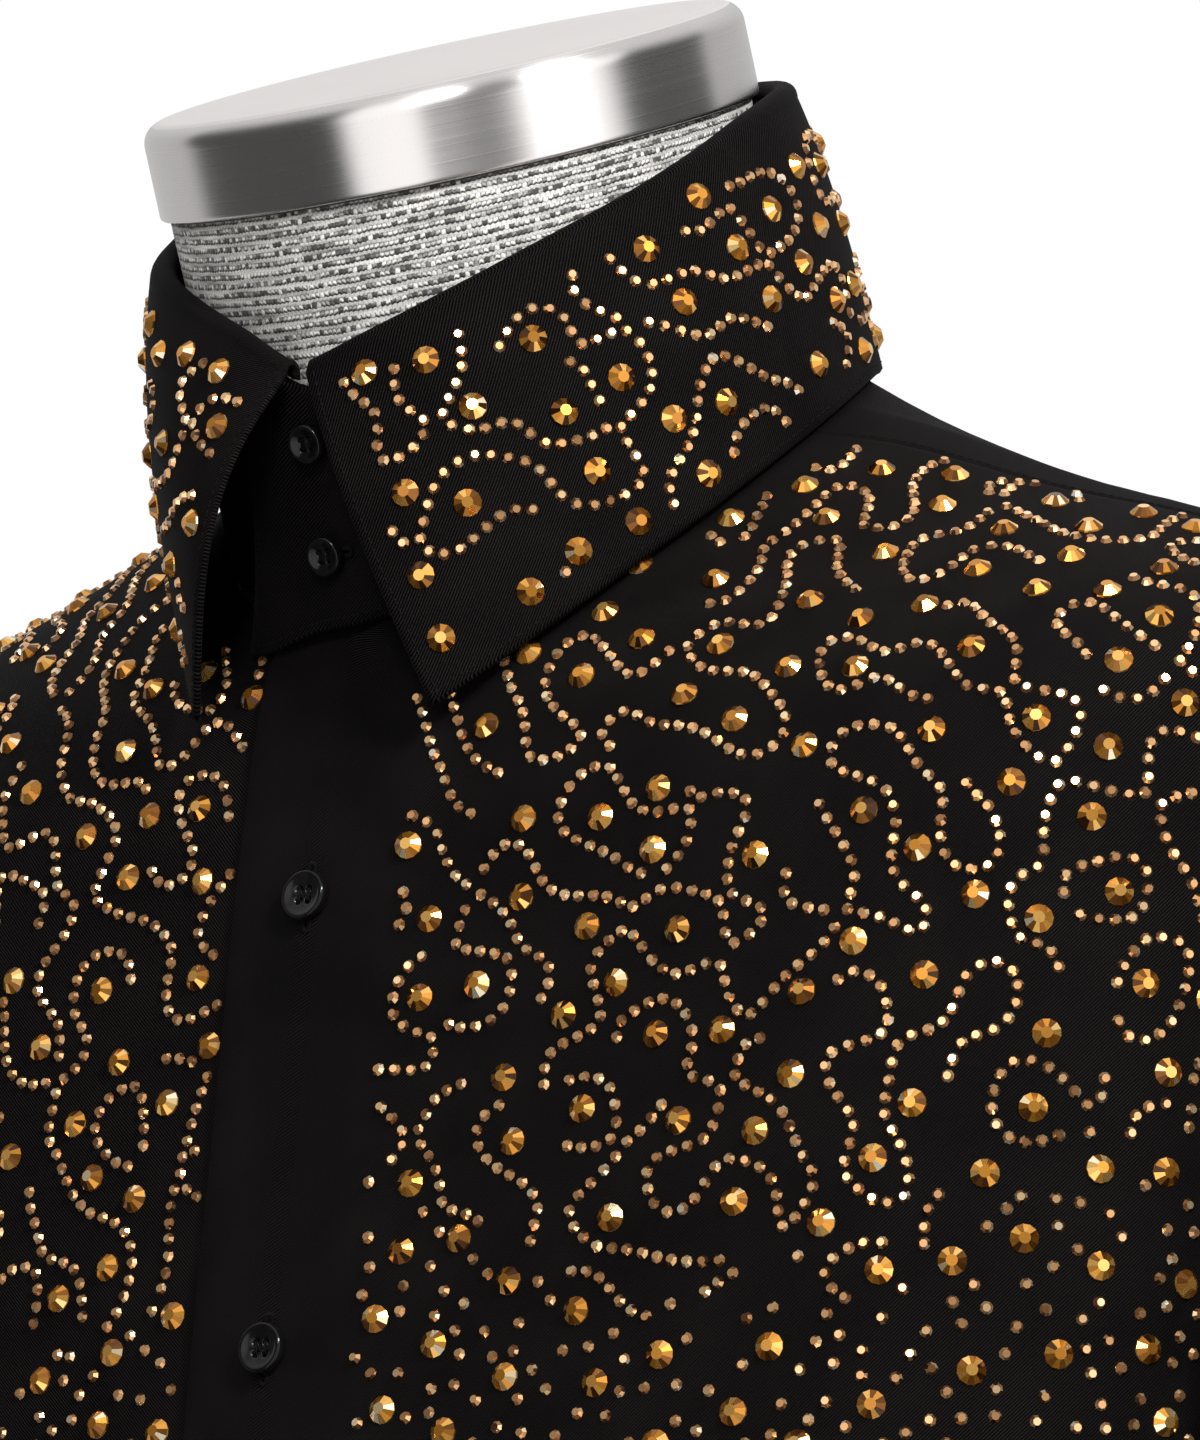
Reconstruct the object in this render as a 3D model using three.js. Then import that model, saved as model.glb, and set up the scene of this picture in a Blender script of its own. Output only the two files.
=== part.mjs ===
// Dress shirt with a high two-button collar, worn by a limbless display form on a pole and base.
// Millimetres, +Z up, -Y is the front and +X the wearer's left.
// The origin is the middle of the base's underside.
// Every cloth piece is a closed wall, cut from one body surface, so that neighbours meet at their seams.
import * as THREE from 'three';
import { mergeVertices } from 'three/addons/utils/BufferGeometryUtils.js';

// ---- driving sizes
const clothThickness = 1.2;
const seamGap = 0.35;
const frontLift = clothThickness + 0.5;     // the left front lies on the right one by this much
const frontEdge = 20.5;                     // half the width of the button overlap
const liftFadesAt = 62;                     // sideways place where the left front is back on the form
const standThickness = 1.6;
const foldRadius = 2.3;                     // of the collar leaf's turn over the stand
const buttonRadius = 5.7;
const smallButtonRadius = 4.55;
const buttonThickness = 2.6;
const baseRadius = 160;
const baseThickness = 9;
const poleRadius = 14;
const hem = { front: 186, side: 252, back: 166 };   // height of the shirt-tail hem

// ---- body surface of the cloth: one row for each level, from the tail to the neck seam
// side, sideY, sideZ: the point on the wearer's left; front and back: the points on the middle plane
// slopeFront, slopeBack: slope in height either side of the side point, 1 for a straight run to the other
// squareness: 2 is an ellipse; ease: how far the form lies inside the cloth
// fold: share of the folds' depth
const levels = [
  { side: 196, sideY: 0, sideZ: 150, frontY: -128, frontZ: 150, backY: 136, backZ: 150,
    slopeFront: 1, slopeBack: 1, squareness: 2.25, ease: 11.5, fold: 1.0 },
  { side: 193, sideY: 0, sideZ: 270, frontY: -126, frontZ: 270, backY: 137, backZ: 270,
    slopeFront: 1, slopeBack: 1, squareness: 2.25, ease: 11, fold: 0.9 },
  { side: 188, sideY: 0, sideZ: 390, frontY: -121, frontZ: 390, backY: 130, backZ: 390,
    slopeFront: 1, slopeBack: 1, squareness: 2.3, ease: 11, fold: 0.9 },
  { side: 185, sideY: 0, sideZ: 500, frontY: -116, frontZ: 500, backY: 122, backZ: 500,
    slopeFront: 1, slopeBack: 1, squareness: 2.35, ease: 12, fold: 1.0 },
  { side: 187, sideY: 0, sideZ: 610, frontY: -112, frontZ: 610, backY: 120, backZ: 610,
    slopeFront: 1, slopeBack: 1, squareness: 2.45, ease: 9.5, fold: 0.75 },
  { side: 192, sideY: 0, sideZ: 700, frontY: -106, frontZ: 700, backY: 122, backZ: 700,
    slopeFront: 1, slopeBack: 1, squareness: 2.6, ease: 6, fold: 0.35 },
  { side: 197, sideY: 2, sideZ: 765, frontY: -98, frontZ: 765, backY: 123, backZ: 772,
    slopeFront: 1, slopeBack: 1, squareness: 2.8, ease: 4, fold: 0.1 },
  { side: 203, sideY: 4, sideZ: 828, frontY: -90, frontZ: 820, backY: 119, backZ: 840,
    slopeFront: 0.9, slopeBack: 0.9, squareness: 2.9, ease: 3, fold: 0 },
  { side: 208, sideY: 6, sideZ: 884, frontY: -84, frontZ: 862, backY: 110, backZ: 900,
    slopeFront: 0.6, slopeBack: 0.6, squareness: 2.85, ease: 4, fold: 0 },
  { side: 209, sideY: 7, sideZ: 926, frontY: -79.5, frontZ: 888, backY: 97, backZ: 944,
    slopeFront: 0.55, slopeBack: 0.2, squareness: 2.55, ease: 5.5, fold: 0 },
  { side: 179, sideY: 8, sideZ: 942.5, frontY: -76.5, frontZ: 903, backY: 86, backZ: 965,
    slopeFront: 0.6, slopeBack: -0.1, squareness: 2.25, ease: 4, fold: 0 },
  { side: 141, sideY: 9, sideZ: 956, frontY: -74, frontZ: 913, backY: 75, backZ: 981,
    slopeFront: 0.62, slopeBack: -0.1, squareness: 2.1, ease: 3, fold: 0 },
  { side: 101, sideY: 8, sideZ: 972.5, frontY: -71.5, frontZ: 920.5, backY: 63, backZ: 994,
    slopeFront: 0.62, slopeBack: 0.1, squareness: 2.0, ease: 3.6, fold: 0 },
  { side: 72, sideY: -2, sideZ: 981, frontY: -69.5, frontZ: 926, backY: 52, backZ: 1003,
    slopeFront: 1, slopeBack: 1, squareness: 1.95, ease: 5.5, fold: 0 },
];
const neckLevel = levels.length - 1;

// the form's neck between the neck seam and the cap
const neckRow = {
  side: 66.5, sideY: -14, sideZ: 1000, frontY: -77.5, frontZ: 966, backY: 42, backZ: 1024,
  slopeFront: 1, slopeBack: 1, squareness: 2,
};
const neckRadius = 67.4;                            // at the cap

// inner face of the collar stand at its seam, and the plan of the crest where the leaf folds over
const standBase = {
  side: 69.2, sideY: -4, sideZ: 980, frontY: -67.4, frontZ: 926.5, backY: 49.6, backZ: 1002.5,
  slopeFront: 1, slopeBack: 1, squareness: 1.95,
};
const crestPlan = {
  side: 73.5, sideY: -26, sideZ: 0, frontY: -90, frontZ: 0, backY: 38.5, backZ: 0,
  slopeFront: 1, slopeBack: 1, squareness: 2,
};

// height of that crest, every 15 degrees from the front to the nape, on the wearer's left and right
const crestHeights = [
  { left: 982, right: 982 },
  { left: 988.5, right: 993 },
  { left: 997, right: 1003 },
  { left: 1007, right: 1012 },
  { left: 1017.5, right: 1020 },
  { left: 1029, right: 1029 },
  { left: 1040.5, right: 1040.5 },
  { left: 1049.5, right: 1049.5 },
  { left: 1056, right: 1056 },
  { left: 1061, right: 1061 },
  { left: 1064.5, right: 1064.5 },
  { left: 1066.5, right: 1066.5 },
  { left: 1067, right: 1067 },
];

// the leaf's lower edge, in even steps from the wearer's left tip round the nape to the right tip
const leafEdge = [
  { x: 33, y: -86, z: 904 },
  { x: 48.5, y: -76.5, z: 916.5 },
  { x: 65, y: -59.5, z: 934 },
  { x: 79, y: -39, z: 953 },
  { x: 85, y: -11, z: 973.5 },
  { x: 79, y: 19, z: 990 },
  { x: 62.5, y: 43, z: 996.5 },
  { x: 35, y: 58, z: 999.5 },
  { x: 0, y: 62.5, z: 1000.5 },
  { x: -35, y: 58, z: 999.5 },
  { x: -62.5, y: 43, z: 996.5 },
  { x: -79, y: 19, z: 990 },
  { x: -82.5, y: -9, z: 976.5 },
  { x: -73, y: -34.5, z: 957 },
  { x: -60.5, y: -53.5, z: 938.5 },
  { x: -45.5, y: -70.5, z: 921 },
  { x: -30.5, y: -86, z: 907 },
];
const leafFrontAngle = 2.5;
const leafBulge = { left: 4, right: 8, back: 1.5 };
const rightSweep = { distance: 10, peak: 0.22 };    // of the right leaf's front edge, away from the middle

// soft vertical folds of the hanging cloth, by angle from the middle of the front
const bodyFolds = [
  { angle: 32, width: 9, depth: -7, lean: 2.0 },
  { angle: 47, width: 8, depth: 6, lean: 2.5 },
  { angle: 66, width: 10, depth: -8, lean: 1.0 },
  { angle: 104, width: 9, depth: 7, lean: -1.0 },
  { angle: 124, width: 9, depth: -7, lean: -2.0 },
  { angle: 150, width: 9, depth: 6, lean: -1.5 },
  { angle: 172, width: 8, depth: -6, lean: 0.5 },
  { angle: 196, width: 9, depth: 5, lean: 1.0 },
  { angle: 222, width: 9, depth: -7, lean: 1.5 },
  { angle: 248, width: 10, depth: 7, lean: 1.0 },
  { angle: 292, width: 10, depth: -8, lean: -1.0 },
  { angle: 315, width: 8, depth: 6, lean: -2.5 },
  { angle: 330, width: 8, depth: -6, lean: -2.0 },
];

// armhole: an oval round the wearer's side, in angle and level
const armhole = { angle: 97, level: 7.28, forward: 20, backward: 23, halfLevel: 1.74 };
const armholeStep = 18;                             // degrees round the armhole between the cloth's corners
const yokeFront = { neckAngle: 74, armAngle: armholeStep };
const yokeBackAngle = -3 * armholeStep;

// sleeve sections below the armhole, for the wearer's left; half sizes in X and Y
const sleeveRows = [
  { z: 700, x: 239, y: 10, halfX: 30, halfY: 80 },
  { z: 610, x: 241, y: 9, halfX: 29, halfY: 74 },
  { z: 520, x: 242, y: 5, halfX: 29, halfY: 68 },
  { z: 430, x: 241, y: -2, halfX: 28, halfY: 62 },
  { z: 368, x: 239, y: -8, halfX: 29, halfY: 58 },
  { z: 342, x: 238, y: -10, halfX: 28, halfY: 53 },
  { z: 334.5, x: 238, y: -10.5, halfX: 26, halfY: 49 },
];
const sleeveFolds = [
  { z: 820, turn: 40, width: 26, depth: 4 },
  { z: 745, turn: 150, width: 22, depth: -4 },
  { z: 690, turn: 60, width: 20, depth: -4 },
  { z: 632, turn: 230, width: 22, depth: 5 },
  { z: 585, turn: 20, width: 18, depth: -5 },
  { z: 548, turn: 180, width: 18, depth: 5 },
  { z: 505, turn: 300, width: 20, depth: -5 },
  { z: 440, turn: 90, width: 22, depth: 4 },
  { z: 390, turn: 200, width: 16, depth: 5 },
];
const cuff = { top: 334, bottom: 266, x: 238, y: -10.5, halfX: 26, halfY: 49, flare: 1.5, overlapLift: 2.1 };
const sleevePlacket = { bottom: 352, top: 478, turn: 75, halfTurn: 9 };

// buttons down the front, measured along the middle of the front
const frontButtonHeights = [863.5, 763, 665, 567, 469, 371];
const collarButtonShares = [0.33, 0.78];            // of the stand's height

// the form's lower end, and the metal parts
const formBottom = { level: 0.82, rounding: 20, inset: 22 };
const cap = { lean: 21.4, y: -31, z: 1041.3, radius: 69.5, height: 22, edge: 5, dome: 1.2 };
const pole = { bottom: baseThickness + seamGap, flangeRadius: 45, flangeThickness: 5 };

// ---- materials
const material = (name, color, roughness, metalness) =>
  Object.assign(new THREE.MeshStandardMaterial({ color, roughness, metalness }), { name });
const blackCloth = material('shirt cloth', 0x17161a, 0.8, 0);
const blackButton = material('button', 0x08080a, 0.15, 0);
const formCloth = material('form cover', 0xa6a6a3, 0.95, 0);
const steel = material('brushed steel', 0xbfbdbb, 0.3, 1);
const paintedSteel = material('pole and base', 0x2a2a2c, 0.4, 0.6);

// ---- small helpers
const radians = degrees => degrees * Math.PI / 180;
const wholeTurn = 2 * Math.PI;
const mix = (a, b, t) => a + (b - a) * t;
const clamp = (x, low = 0, high = 1) => Math.min(high, Math.max(low, x));
const smooth = (low, high, x) => {
  const t = clamp((x - low) / (high - low));
  return t * t * (3 - 2 * t);
};
const signedPower = (x, power) => Math.sign(x) * Math.abs(x) ** power;
const bell = x => Math.exp(-x * x);

// Catmull-Rom through evenly numbered rows, one value for each named column
function rowAt(rows, place) {
  const i = clamp(Math.floor(place), 0, rows.length - 2);
  const t = clamp(place, 0, rows.length - 1) - i;
  const [a, b, c, d] = [-1, 0, 1, 2].map(k => rows[clamp(i + k, 0, rows.length - 1)]);
  const row = {};
  for (const key of Object.keys(b)) {
    const bend = 2 * a[key] - 5 * b[key] + 4 * c[key] - d[key];
    const twist = 3 * b[key] - a[key] - 3 * c[key] + d[key];
    row[key] = b[key] + 0.5 * t * (c[key] - a[key] + t * (bend + t * twist));
  }
  return row;
}

// a ring through its front, side and back points; the angle runs from the front towards +X
function ringPoint(row, angle) {
  const c = signedPower(Math.cos(angle), 2 / row.squareness);
  const s = signedPower(Math.sin(angle), 2 / row.squareness);
  const through = (front, side, back, share) => {
    const slope = share * (back - front) / 2;
    return side - slope * c + (c > 0 ? front - side + slope : back - side - slope) * c * c;
  };
  const y = through(row.frontY, row.sideY, row.backY, 1);
  const z = through(row.frontZ, row.sideZ, row.backZ, c > 0 ? row.slopeFront : row.slopeBack);
  return new THREE.Vector3(row.side * s, y, z);
}

// unit normal of surface(a, b), by central differences
function normalOf(surface, a, b, stepA, stepB) {
  const alongA = surface(a + stepA, b).sub(surface(a - stepA, b));
  const alongB = surface(a, b + stepB).sub(surface(a, b - stepB));
  return alongA.cross(alongB).normalize();
}
const moved = (point, direction, distance) => point.clone().addScaledVector(direction, distance);

function foldAt(angle, level) {
  const share = rowAt(levels, level).fold;
  const turn = THREE.MathUtils.euclideanModulo(THREE.MathUtils.radToDeg(angle), 360);
  return share * bodyFolds.reduce((sum, f) =>
    sum + f.depth * bell((turn - f.angle - f.lean * (3 - level)) / f.width), 0);
}

// the cloth's inner face; angles in radians
const bodyPoint = (angle, level) => ringPoint(rowAt(levels, level), angle);
function bodyCloth(angle, level, out) {
  const normal = normalOf(bodyPoint, angle, level, 0.01, 0.02);
  return moved(bodyPoint(angle, level), normal, out + foldAt(angle, level));
}

// angle at which a level passes a sideways place, near the front
function angleAtSide(level, x) {
  const row = rowAt(levels, level);
  return Math.sign(x) * Math.asin(clamp(Math.abs(x) / row.side) ** (row.squareness / 2));
}

// level whose middle point, front or back, has this height
function levelAtHeight(z, angle) {
  let [low, high] = [0, neckLevel];
  for (let i = 0; i < 40; i++) {
    const middle = (low + high) / 2;
    if (bodyPoint(angle, middle).z < z) low = middle; else high = middle;
  }
  return (low + high) / 2;
}

// ---- closed walls from grids of points
function solidFromTriangles(points, triangles) {
  const geometry = new THREE.BufferGeometry();
  const places = points.flatMap(p => [p.x, p.y, p.z]);
  geometry.setAttribute('position', new THREE.Float32BufferAttribute(places, 3));
  geometry.setIndex(triangles.flat());
  const merged = mergeVertices(geometry, 1e-4);
  merged.computeVertexNormals();
  return merged;
}

// wall between two grids, inner[row][column] and outer[row][column]
// a closed wall joins its last column to its first
function wall(inner, outer, closed = false) {
  const rows = inner.length;
  const columns = inner[0].length;
  const at = (layer, r, c) => layer * rows * columns + r * columns + (c % columns);
  const triangles = [];
  const quad = (a, b, c, d, across = true) =>
    triangles.push(...(across ? [[a, b, c], [a, c, d]] : [[b, c, d], [b, d, a]]));
  const lastColumn = closed ? columns : columns - 1;
  for (let r = 0; r < rows - 1; r++) {
    for (let c = 0; c < lastColumn; c++) {
      const next = (c + 1) % columns;
      const [a, b, p, q] = [outer[r][c], outer[r][next], outer[r + 1][next], outer[r + 1][c]];
      const shorter = a.distanceTo(p) < b.distanceTo(q);
      quad(at(1, r, c), at(1, r, c + 1), at(1, r + 1, c + 1), at(1, r + 1, c), shorter);
      quad(at(0, r, c), at(0, r + 1, c), at(0, r + 1, c + 1), at(0, r, c + 1), shorter);
    }
    if (!closed) {
      quad(at(0, r, 0), at(1, r, 0), at(1, r + 1, 0), at(0, r + 1, 0));
      const end = columns - 1;
      quad(at(1, r, end), at(0, r, end), at(0, r + 1, end), at(1, r + 1, end));
    }
  }
  for (let c = 0; c < lastColumn; c++) {
    quad(at(0, 0, c), at(0, 0, c + 1), at(1, 0, c + 1), at(1, 0, c));
    quad(at(1, rows - 1, c), at(1, rows - 1, c + 1), at(0, rows - 1, c + 1), at(0, rows - 1, c));
  }
  return solidFromTriangles([...inner.flat(), ...outer.flat()], triangles);
}
const mirror = geometry => {
  const flipped = geometry.clone().scale(-1, 1, 1);
  const index = Array.from(flipped.index.array);
  for (let i = 0; i < index.length; i += 3) {
    [index[i + 1], index[i + 2]] = [index[i + 2], index[i + 1]];
  }
  flipped.setIndex(index);
  flipped.computeVertexNormals();
  return flipped;
};

const samplesOf = (count, point) => Array.from({ length: count + 1 }, (_, i) => point(i / count));
const grid = (rows, columns, point) =>
  samplesOf(rows, t => samplesOf(columns, s => point(s, t)));

// a route over the body, [angle, level] by share of its real length, from a list of samples
function route(samples) {
  const places = samples.map(([angle, level]) => bodyPoint(angle, level));
  const lengths = [0];
  places.slice(1).forEach((p, i) => lengths.push(lengths[i] + p.distanceTo(places[i])));
  return share => {
    const target = clamp(share) * lengths.at(-1);
    const i = Math.max(1, lengths.findIndex(l => l >= target));
    const t = clamp((target - lengths[i - 1]) / Math.max(lengths[i] - lengths[i - 1], 1e-9));
    return [mix(samples[i - 1][0], samples[i][0], t), mix(samples[i - 1][1], samples[i][1], t)];
  };
}

// routes end to end, each with its own number of columns or rows of the panel
function joined(...runs) {
  const total = runs.reduce((sum, [count]) => sum + count, 0);
  return share => {
    let place = share * total;
    const last = runs.findIndex(([count], i) => {
      if (place <= count + 1e-9 || i === runs.length - 1) return true;
      place -= count;
      return false;
    });
    return runs[last][1](place / runs[last][0]);
  };
}

// Coons patch between four routes: bottom and top run across, left and right run up
const patch = (bottom, top, left, right) => (s, t) => [0, 1].map(k =>
  mix(bottom(s)[k], top(s)[k], t) + mix(left(t)[k], right(t)[k], s)
  - mix(mix(bottom(0)[k], bottom(1)[k], s), mix(top(0)[k], top(1)[k], s), t));

function bodyPanel(domain, columns, rows, lift = () => 0) {
  const layer = out => grid(rows, columns, (s, t) => {
    const [angle, level] = domain(s, t);
    return bodyCloth(angle, level, out + lift(angle, level));
  });
  return wall(layer(0), layer(clothThickness));
}

const group = new THREE.Group();
function piece(name, geometry, surface) {
  const mesh = new THREE.Mesh(geometry, surface);
  mesh.name = name;
  group.add(mesh);
  return mesh;
}

// ---- outlines on the body: hem, armhole, seams
const seamAngle = level => seamGap / 2 / rowAt(levels, level).side;
const hemLevel = angle => {
  const c = Math.cos(angle);
  return levelAtHeight(hem.side + ((c > 0 ? hem.front : hem.back) - hem.side) * c * c, angle);
};

// the armhole by its own turn, on the wearer's left
// 0 at the shoulder, 90 at the front, 180 under the arm, 270 at the back
function armholeAt(turn, shrink = 0) {
  const s = Math.sin(turn);
  const reach = radians(s > 0 ? armhole.forward : armhole.backward) * (1 + shrink);
  const level = armhole.level + armhole.halfLevel * (1 + shrink) * Math.cos(turn);
  return [radians(armhole.angle) - reach * s, level];
}
const armpitLevel = armhole.level - armhole.halfLevel;
const clothShrink = 0.005;                          // of the armhole in the body panels
const armholeFrontRows = (180 - yokeFront.armAngle) / armholeStep;
const armholeBackRows = (180 + yokeBackAngle) / armholeStep;
const yokeArmColumns = (yokeFront.armAngle - yokeBackAngle) / armholeStep;
const armholeRun = (from, to) => t => armholeAt(radians(mix(from, to, t)), clothShrink);
const mirrored = run => t => {
  const [angle, level] = run(t);
  return [wholeTurn - angle, level];
};
const sideSeam = side => {
  const angle = radians(armhole.angle);
  const edge = level => angle + side * seamAngle(level);
  const start = hemLevel(edge(1));
  return t => {
    const level = mix(start, armpitLevel - 0.006, t);
    return [edge(level), level];
  };
};
const seamRows = 10;

// the seam between a front and the yoke, from the neck to the armhole, denser towards the armhole
const yokeSeamRows = 6;
const yokeSeam = side => u => {
  const share = 1 - (1 - u) ** 1.6;
  const [armAngle, armLevel] = armholeAt(radians(yokeFront.armAngle), clothShrink);
  const level = mix(neckLevel, armLevel, share);
  return [mix(radians(yokeFront.neckAngle), armAngle, share) + side * seamAngle(level), level];
};
const neckRun = (from, to) => t => [mix(from, to, t), neckLevel];

// ---- fronts, the wearer's left one lying on the right one
// two columns span the button overlap, so that both fronts have the same facets there
const neckColumns = 5;
const frontColumns = 2 + neckColumns + yokeSeamRows;
const overlapShare = 2 / frontColumns;
function frontPanel(lift) {
  const edge = level => angleAtSide(level, frontEdge);
  const right = joined([seamRows, sideSeam(-1)], [armholeFrontRows, armholeRun(180, yokeFront.armAngle)]);
  const bottomLevel = hemLevel(edge(0));
  const left = t => {
    const level = mix(bottomLevel, neckLevel, 1 - (1 - t) ** 1.15);
    return [edge(level), level];
  };
  const bottom = route(samplesOf(24, t => {
    const angle = mix(left(0)[0], right(0)[0], t);
    return [angle, hemLevel(angle)];
  }));
  const neck = neckRun(left(1)[0], yokeSeam(-1)(0)[0]);
  const beside = patch(bottom, joined([neckColumns, neck], [yokeSeamRows, yokeSeam(-1)]), left, right);
  const domain = (s, t) => {
    if (s >= overlapShare) return beside((s - overlapShare) / (1 - overlapShare), t);
    const level = left(t)[1];
    return [angleAtSide(level, mix(-frontEdge, frontEdge, s / overlapShare)), level];
  };
  const fade = (angle, level) => 1 - smooth(frontEdge + 4, liftFadesAt, bodyPoint(angle, level).x);
  const rows = seamRows + armholeFrontRows;
  return bodyPanel(domain, frontColumns, rows, (angle, level) => lift * fade(angle, level));
}
piece('front_left', frontPanel(frontLift), blackCloth);
piece('front_right', mirror(frontPanel(0)), blackCloth);

// ---- back, below the yoke
const backColumns = 18;
{
  const left = joined([seamRows, sideSeam(1)], [armholeBackRows, armholeRun(180, 360 + yokeBackAngle)]);
  const bottom = route(samplesOf(36, t => {
    const angle = mix(left(0)[0], wholeTurn - left(0)[0], t);
    return [angle, hemLevel(angle)];
  }));
  const [startAngle, startLevel] = left(1);
  const top = t => [mix(startAngle, wholeTurn - startAngle, t), startLevel];
  const domain = patch(bottom, top, left, mirrored(left));
  piece('back', bodyPanel(domain, backColumns, seamRows + armholeBackRows), blackCloth);
}

// ---- yoke: over both shoulders, from one front seam round the back of the neck to the other
{
  const raised = run => t => {
    const [angle, level] = run(t);
    return [angle, level + 0.012];
  };
  const besideArm = raised(armholeRun(yokeFront.armAngle, yokeBackAngle));
  const [startAngle, startLevel] = besideArm(1);
  const across = t => [mix(startAngle, wholeTurn - startAngle, t), startLevel];
  const otherArm = t => mirrored(besideArm)(1 - t);
  const bottom = joined([yokeArmColumns, besideArm], [backColumns, across], [yokeArmColumns, otherArm]);
  const left = raised(t => yokeSeam(1)(1 - t));
  const top = neckRun(left(1)[0], wholeTurn - left(1)[0]);
  const domain = patch(bottom, top, left, mirrored(left));
  piece('yoke', bodyPanel(domain, 2 * yokeArmColumns + backColumns, yokeSeamRows), blackCloth);
}

// ---- collar stand: one band, its left end lying over its right end at the front
const crestLeft = crestHeights.map(row => ({ z: row.left }));
const crestRight = crestHeights.slice(0, -1).map(row => ({ z: row.right }));
const crestRows = [...crestLeft, ...crestRight.reverse()];
function crestPoint(angle) {
  const turn = THREE.MathUtils.euclideanModulo(angle, wholeTurn);
  return ringPoint(crestPlan, angle).setZ(rowAt(crestRows, THREE.MathUtils.radToDeg(turn) / 15).z);
}
const crestInward = angle => new THREE.Vector3(-Math.sin(angle), Math.cos(angle), 0);
const standTopDrop = foldRadius + 1.2;
function standRing(angle, share) {
  const top = moved(crestPoint(angle), crestInward(angle), foldRadius + standThickness / 2);
  return ringPoint(standBase, angle).lerp(top.setZ(top.z - standTopDrop), share);
}
function standCloth(angle, share, out) {
  return moved(standRing(angle, share), normalOf(standRing, angle, share, 0.02, 0.01), out);
}
const standOverlap = radians(19.5);
function standLift(angle, share) {
  const overlapping = (standThickness + seamGap + 0.15) * (1 - smooth(0.15, radians(60), angle));
  const overFronts = 7 * (1 - smooth(0, 0.25, angle)) * (1 - share) ** 3;
  return overlapping + overFronts;
}
{
  const ends = 2;
  const round = 30;
  const layer = out => grid(3, ends + round + ends, (s, t) => {
    const end = standOverlap - radians(2) * t;
    const angle = joined(
      [ends, u => mix(-end, 0, u)], [round, u => wholeTurn * u], [ends, u => wholeTurn + end * u])(s);
    const droop = 0.11 * (1 - smooth(-standOverlap, 0, angle));
    const share = mix(0.05 - droop, 0.985, t);
    return standCloth(angle, share, out + standLift(angle, share));
  });
  piece('collar_stand', wall(layer(0), layer(standThickness)), blackCloth);
}

// ---- collar leaf: folds over the stand's top edge and hangs to its own lower edge
// middle line of the leaf, across s from its left front edge round to its right one, down t
function leafMiddle(s, t) {
  const angle = mix(radians(leafFrontAngle), radians(360 - leafFrontAngle), s);
  const outward = crestInward(angle).negate();
  const turnOver = p => {
    const drop = foldRadius * (1 - Math.sin(p)) + (p > 0 && p < Math.PI ? 0 : 0.6);
    return moved(crestPoint(angle), outward, -foldRadius * Math.cos(p)).add(new THREE.Vector3(0, 0, -drop));
  };
  const foldShare = 0.14;
  if (t <= foldShare) return turnOver(Math.PI * t / foldShare);
  const down = (t - foldShare) / (1 - foldShare);
  const { x, y, z } = rowAt(leafEdge, s * (leafEdge.length - 1));
  const atFront = bell(Math.min(s, 1 - s) / 0.12);
  const deepest = mix(leafBulge.back, s < 0.5 ? leafBulge.left : leafBulge.right, atFront);
  const bulge = deepest * 4 * down * (1 - down) * mix(1.3, 0.7, down);
  const pull = down / rightSweep.peak;
  const sweep = rightSweep.distance * bell((1 - s) / 0.07) * pull * Math.exp(1 - pull);
  return moved(turnOver(Math.PI).lerp(new THREE.Vector3(x - sweep, y, z), down), outward, bulge);
}
{
  const shares = [0, 0.035, 0.07, 0.105, 0.14, 0.23, 0.33, 0.5, 0.75, 1];
  const columns = 32;
  const half = standThickness / 2;
  const layer = out => shares.map(t => Array.from({ length: columns + 1 }, (_, c) => {
    const s = c / columns;
    const inside = (x, step) => clamp(x, step, 1 - step);
    const normal = normalOf(leafMiddle, inside(s, 0.004), inside(t, 0.004), 0.003, 0.003);
    return moved(leafMiddle(s, t), normal, out);
  }));
  piece('collar_leaf', wall(layer(-half), layer(half)), blackCloth);
}

// ---- sleeves: from the armhole, over the shoulder's end and down
const sleeveTop = { reachOut: 62, reachUnder: 16 };
const armholeCentre = bodyPoint(Math.PI / 2, armhole.level);
function sleeveRing(z, turn) {
  const place = sleeveRows.findIndex(row => row.z <= z);
  const i = clamp(place - 1, 0, sleeveRows.length - 2);
  const between = (sleeveRows[i].z - z) / (sleeveRows[i].z - sleeveRows[i + 1].z);
  const row = rowAt(sleeveRows, z >= sleeveRows[0].z ? 0 : i + between);
  return new THREE.Vector3(row.x + row.halfX * Math.cos(turn), row.y - row.halfY * Math.sin(turn), z);
}
// middle of the sleeve's cloth by turn, 0 over the shoulder and 180 under the arm, and share of its length
const hangShare = 0.3;
function sleeveMiddle(turn, share) {
  if (share > hangShare) {
    return sleeveRing(mix(sleeveRows[0].z, sleeveRows.at(-1).z, (share - hangShare) / (1 - hangShare)), turn);
  }
  const t = share / hangShare;
  const [angle, level] = armholeAt(turn, -0.012);
  const start = bodyCloth(angle, level, clothThickness / 2);
  const end = sleeveRing(sleeveRows[0].z, turn);
  const above = 0.5 + 0.5 * Math.cos(turn);
  const outward = new THREE.Vector3(1, 0, mix(-0.9, -0.36, above)).normalize();
  outward.addScaledVector(start.clone().sub(armholeCentre).setX(0).normalize(), 0.12).normalize();
  const startPull = mix(sleeveTop.reachUnder, sleeveTop.reachOut, above ** 1.3) * 2.2;
  const endPull = mix(30, 190, above);
  const t2 = t * t;
  const t3 = t2 * t;
  return start.multiplyScalar(2 * t3 - 3 * t2 + 1)
    .addScaledVector(outward, (t3 - 2 * t2 + t) * startPull)
    .addScaledVector(end, 3 * t2 - 2 * t3)
    .addScaledVector(new THREE.Vector3(0, 0, -1), (t3 - t2) * endPull);
}
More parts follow.
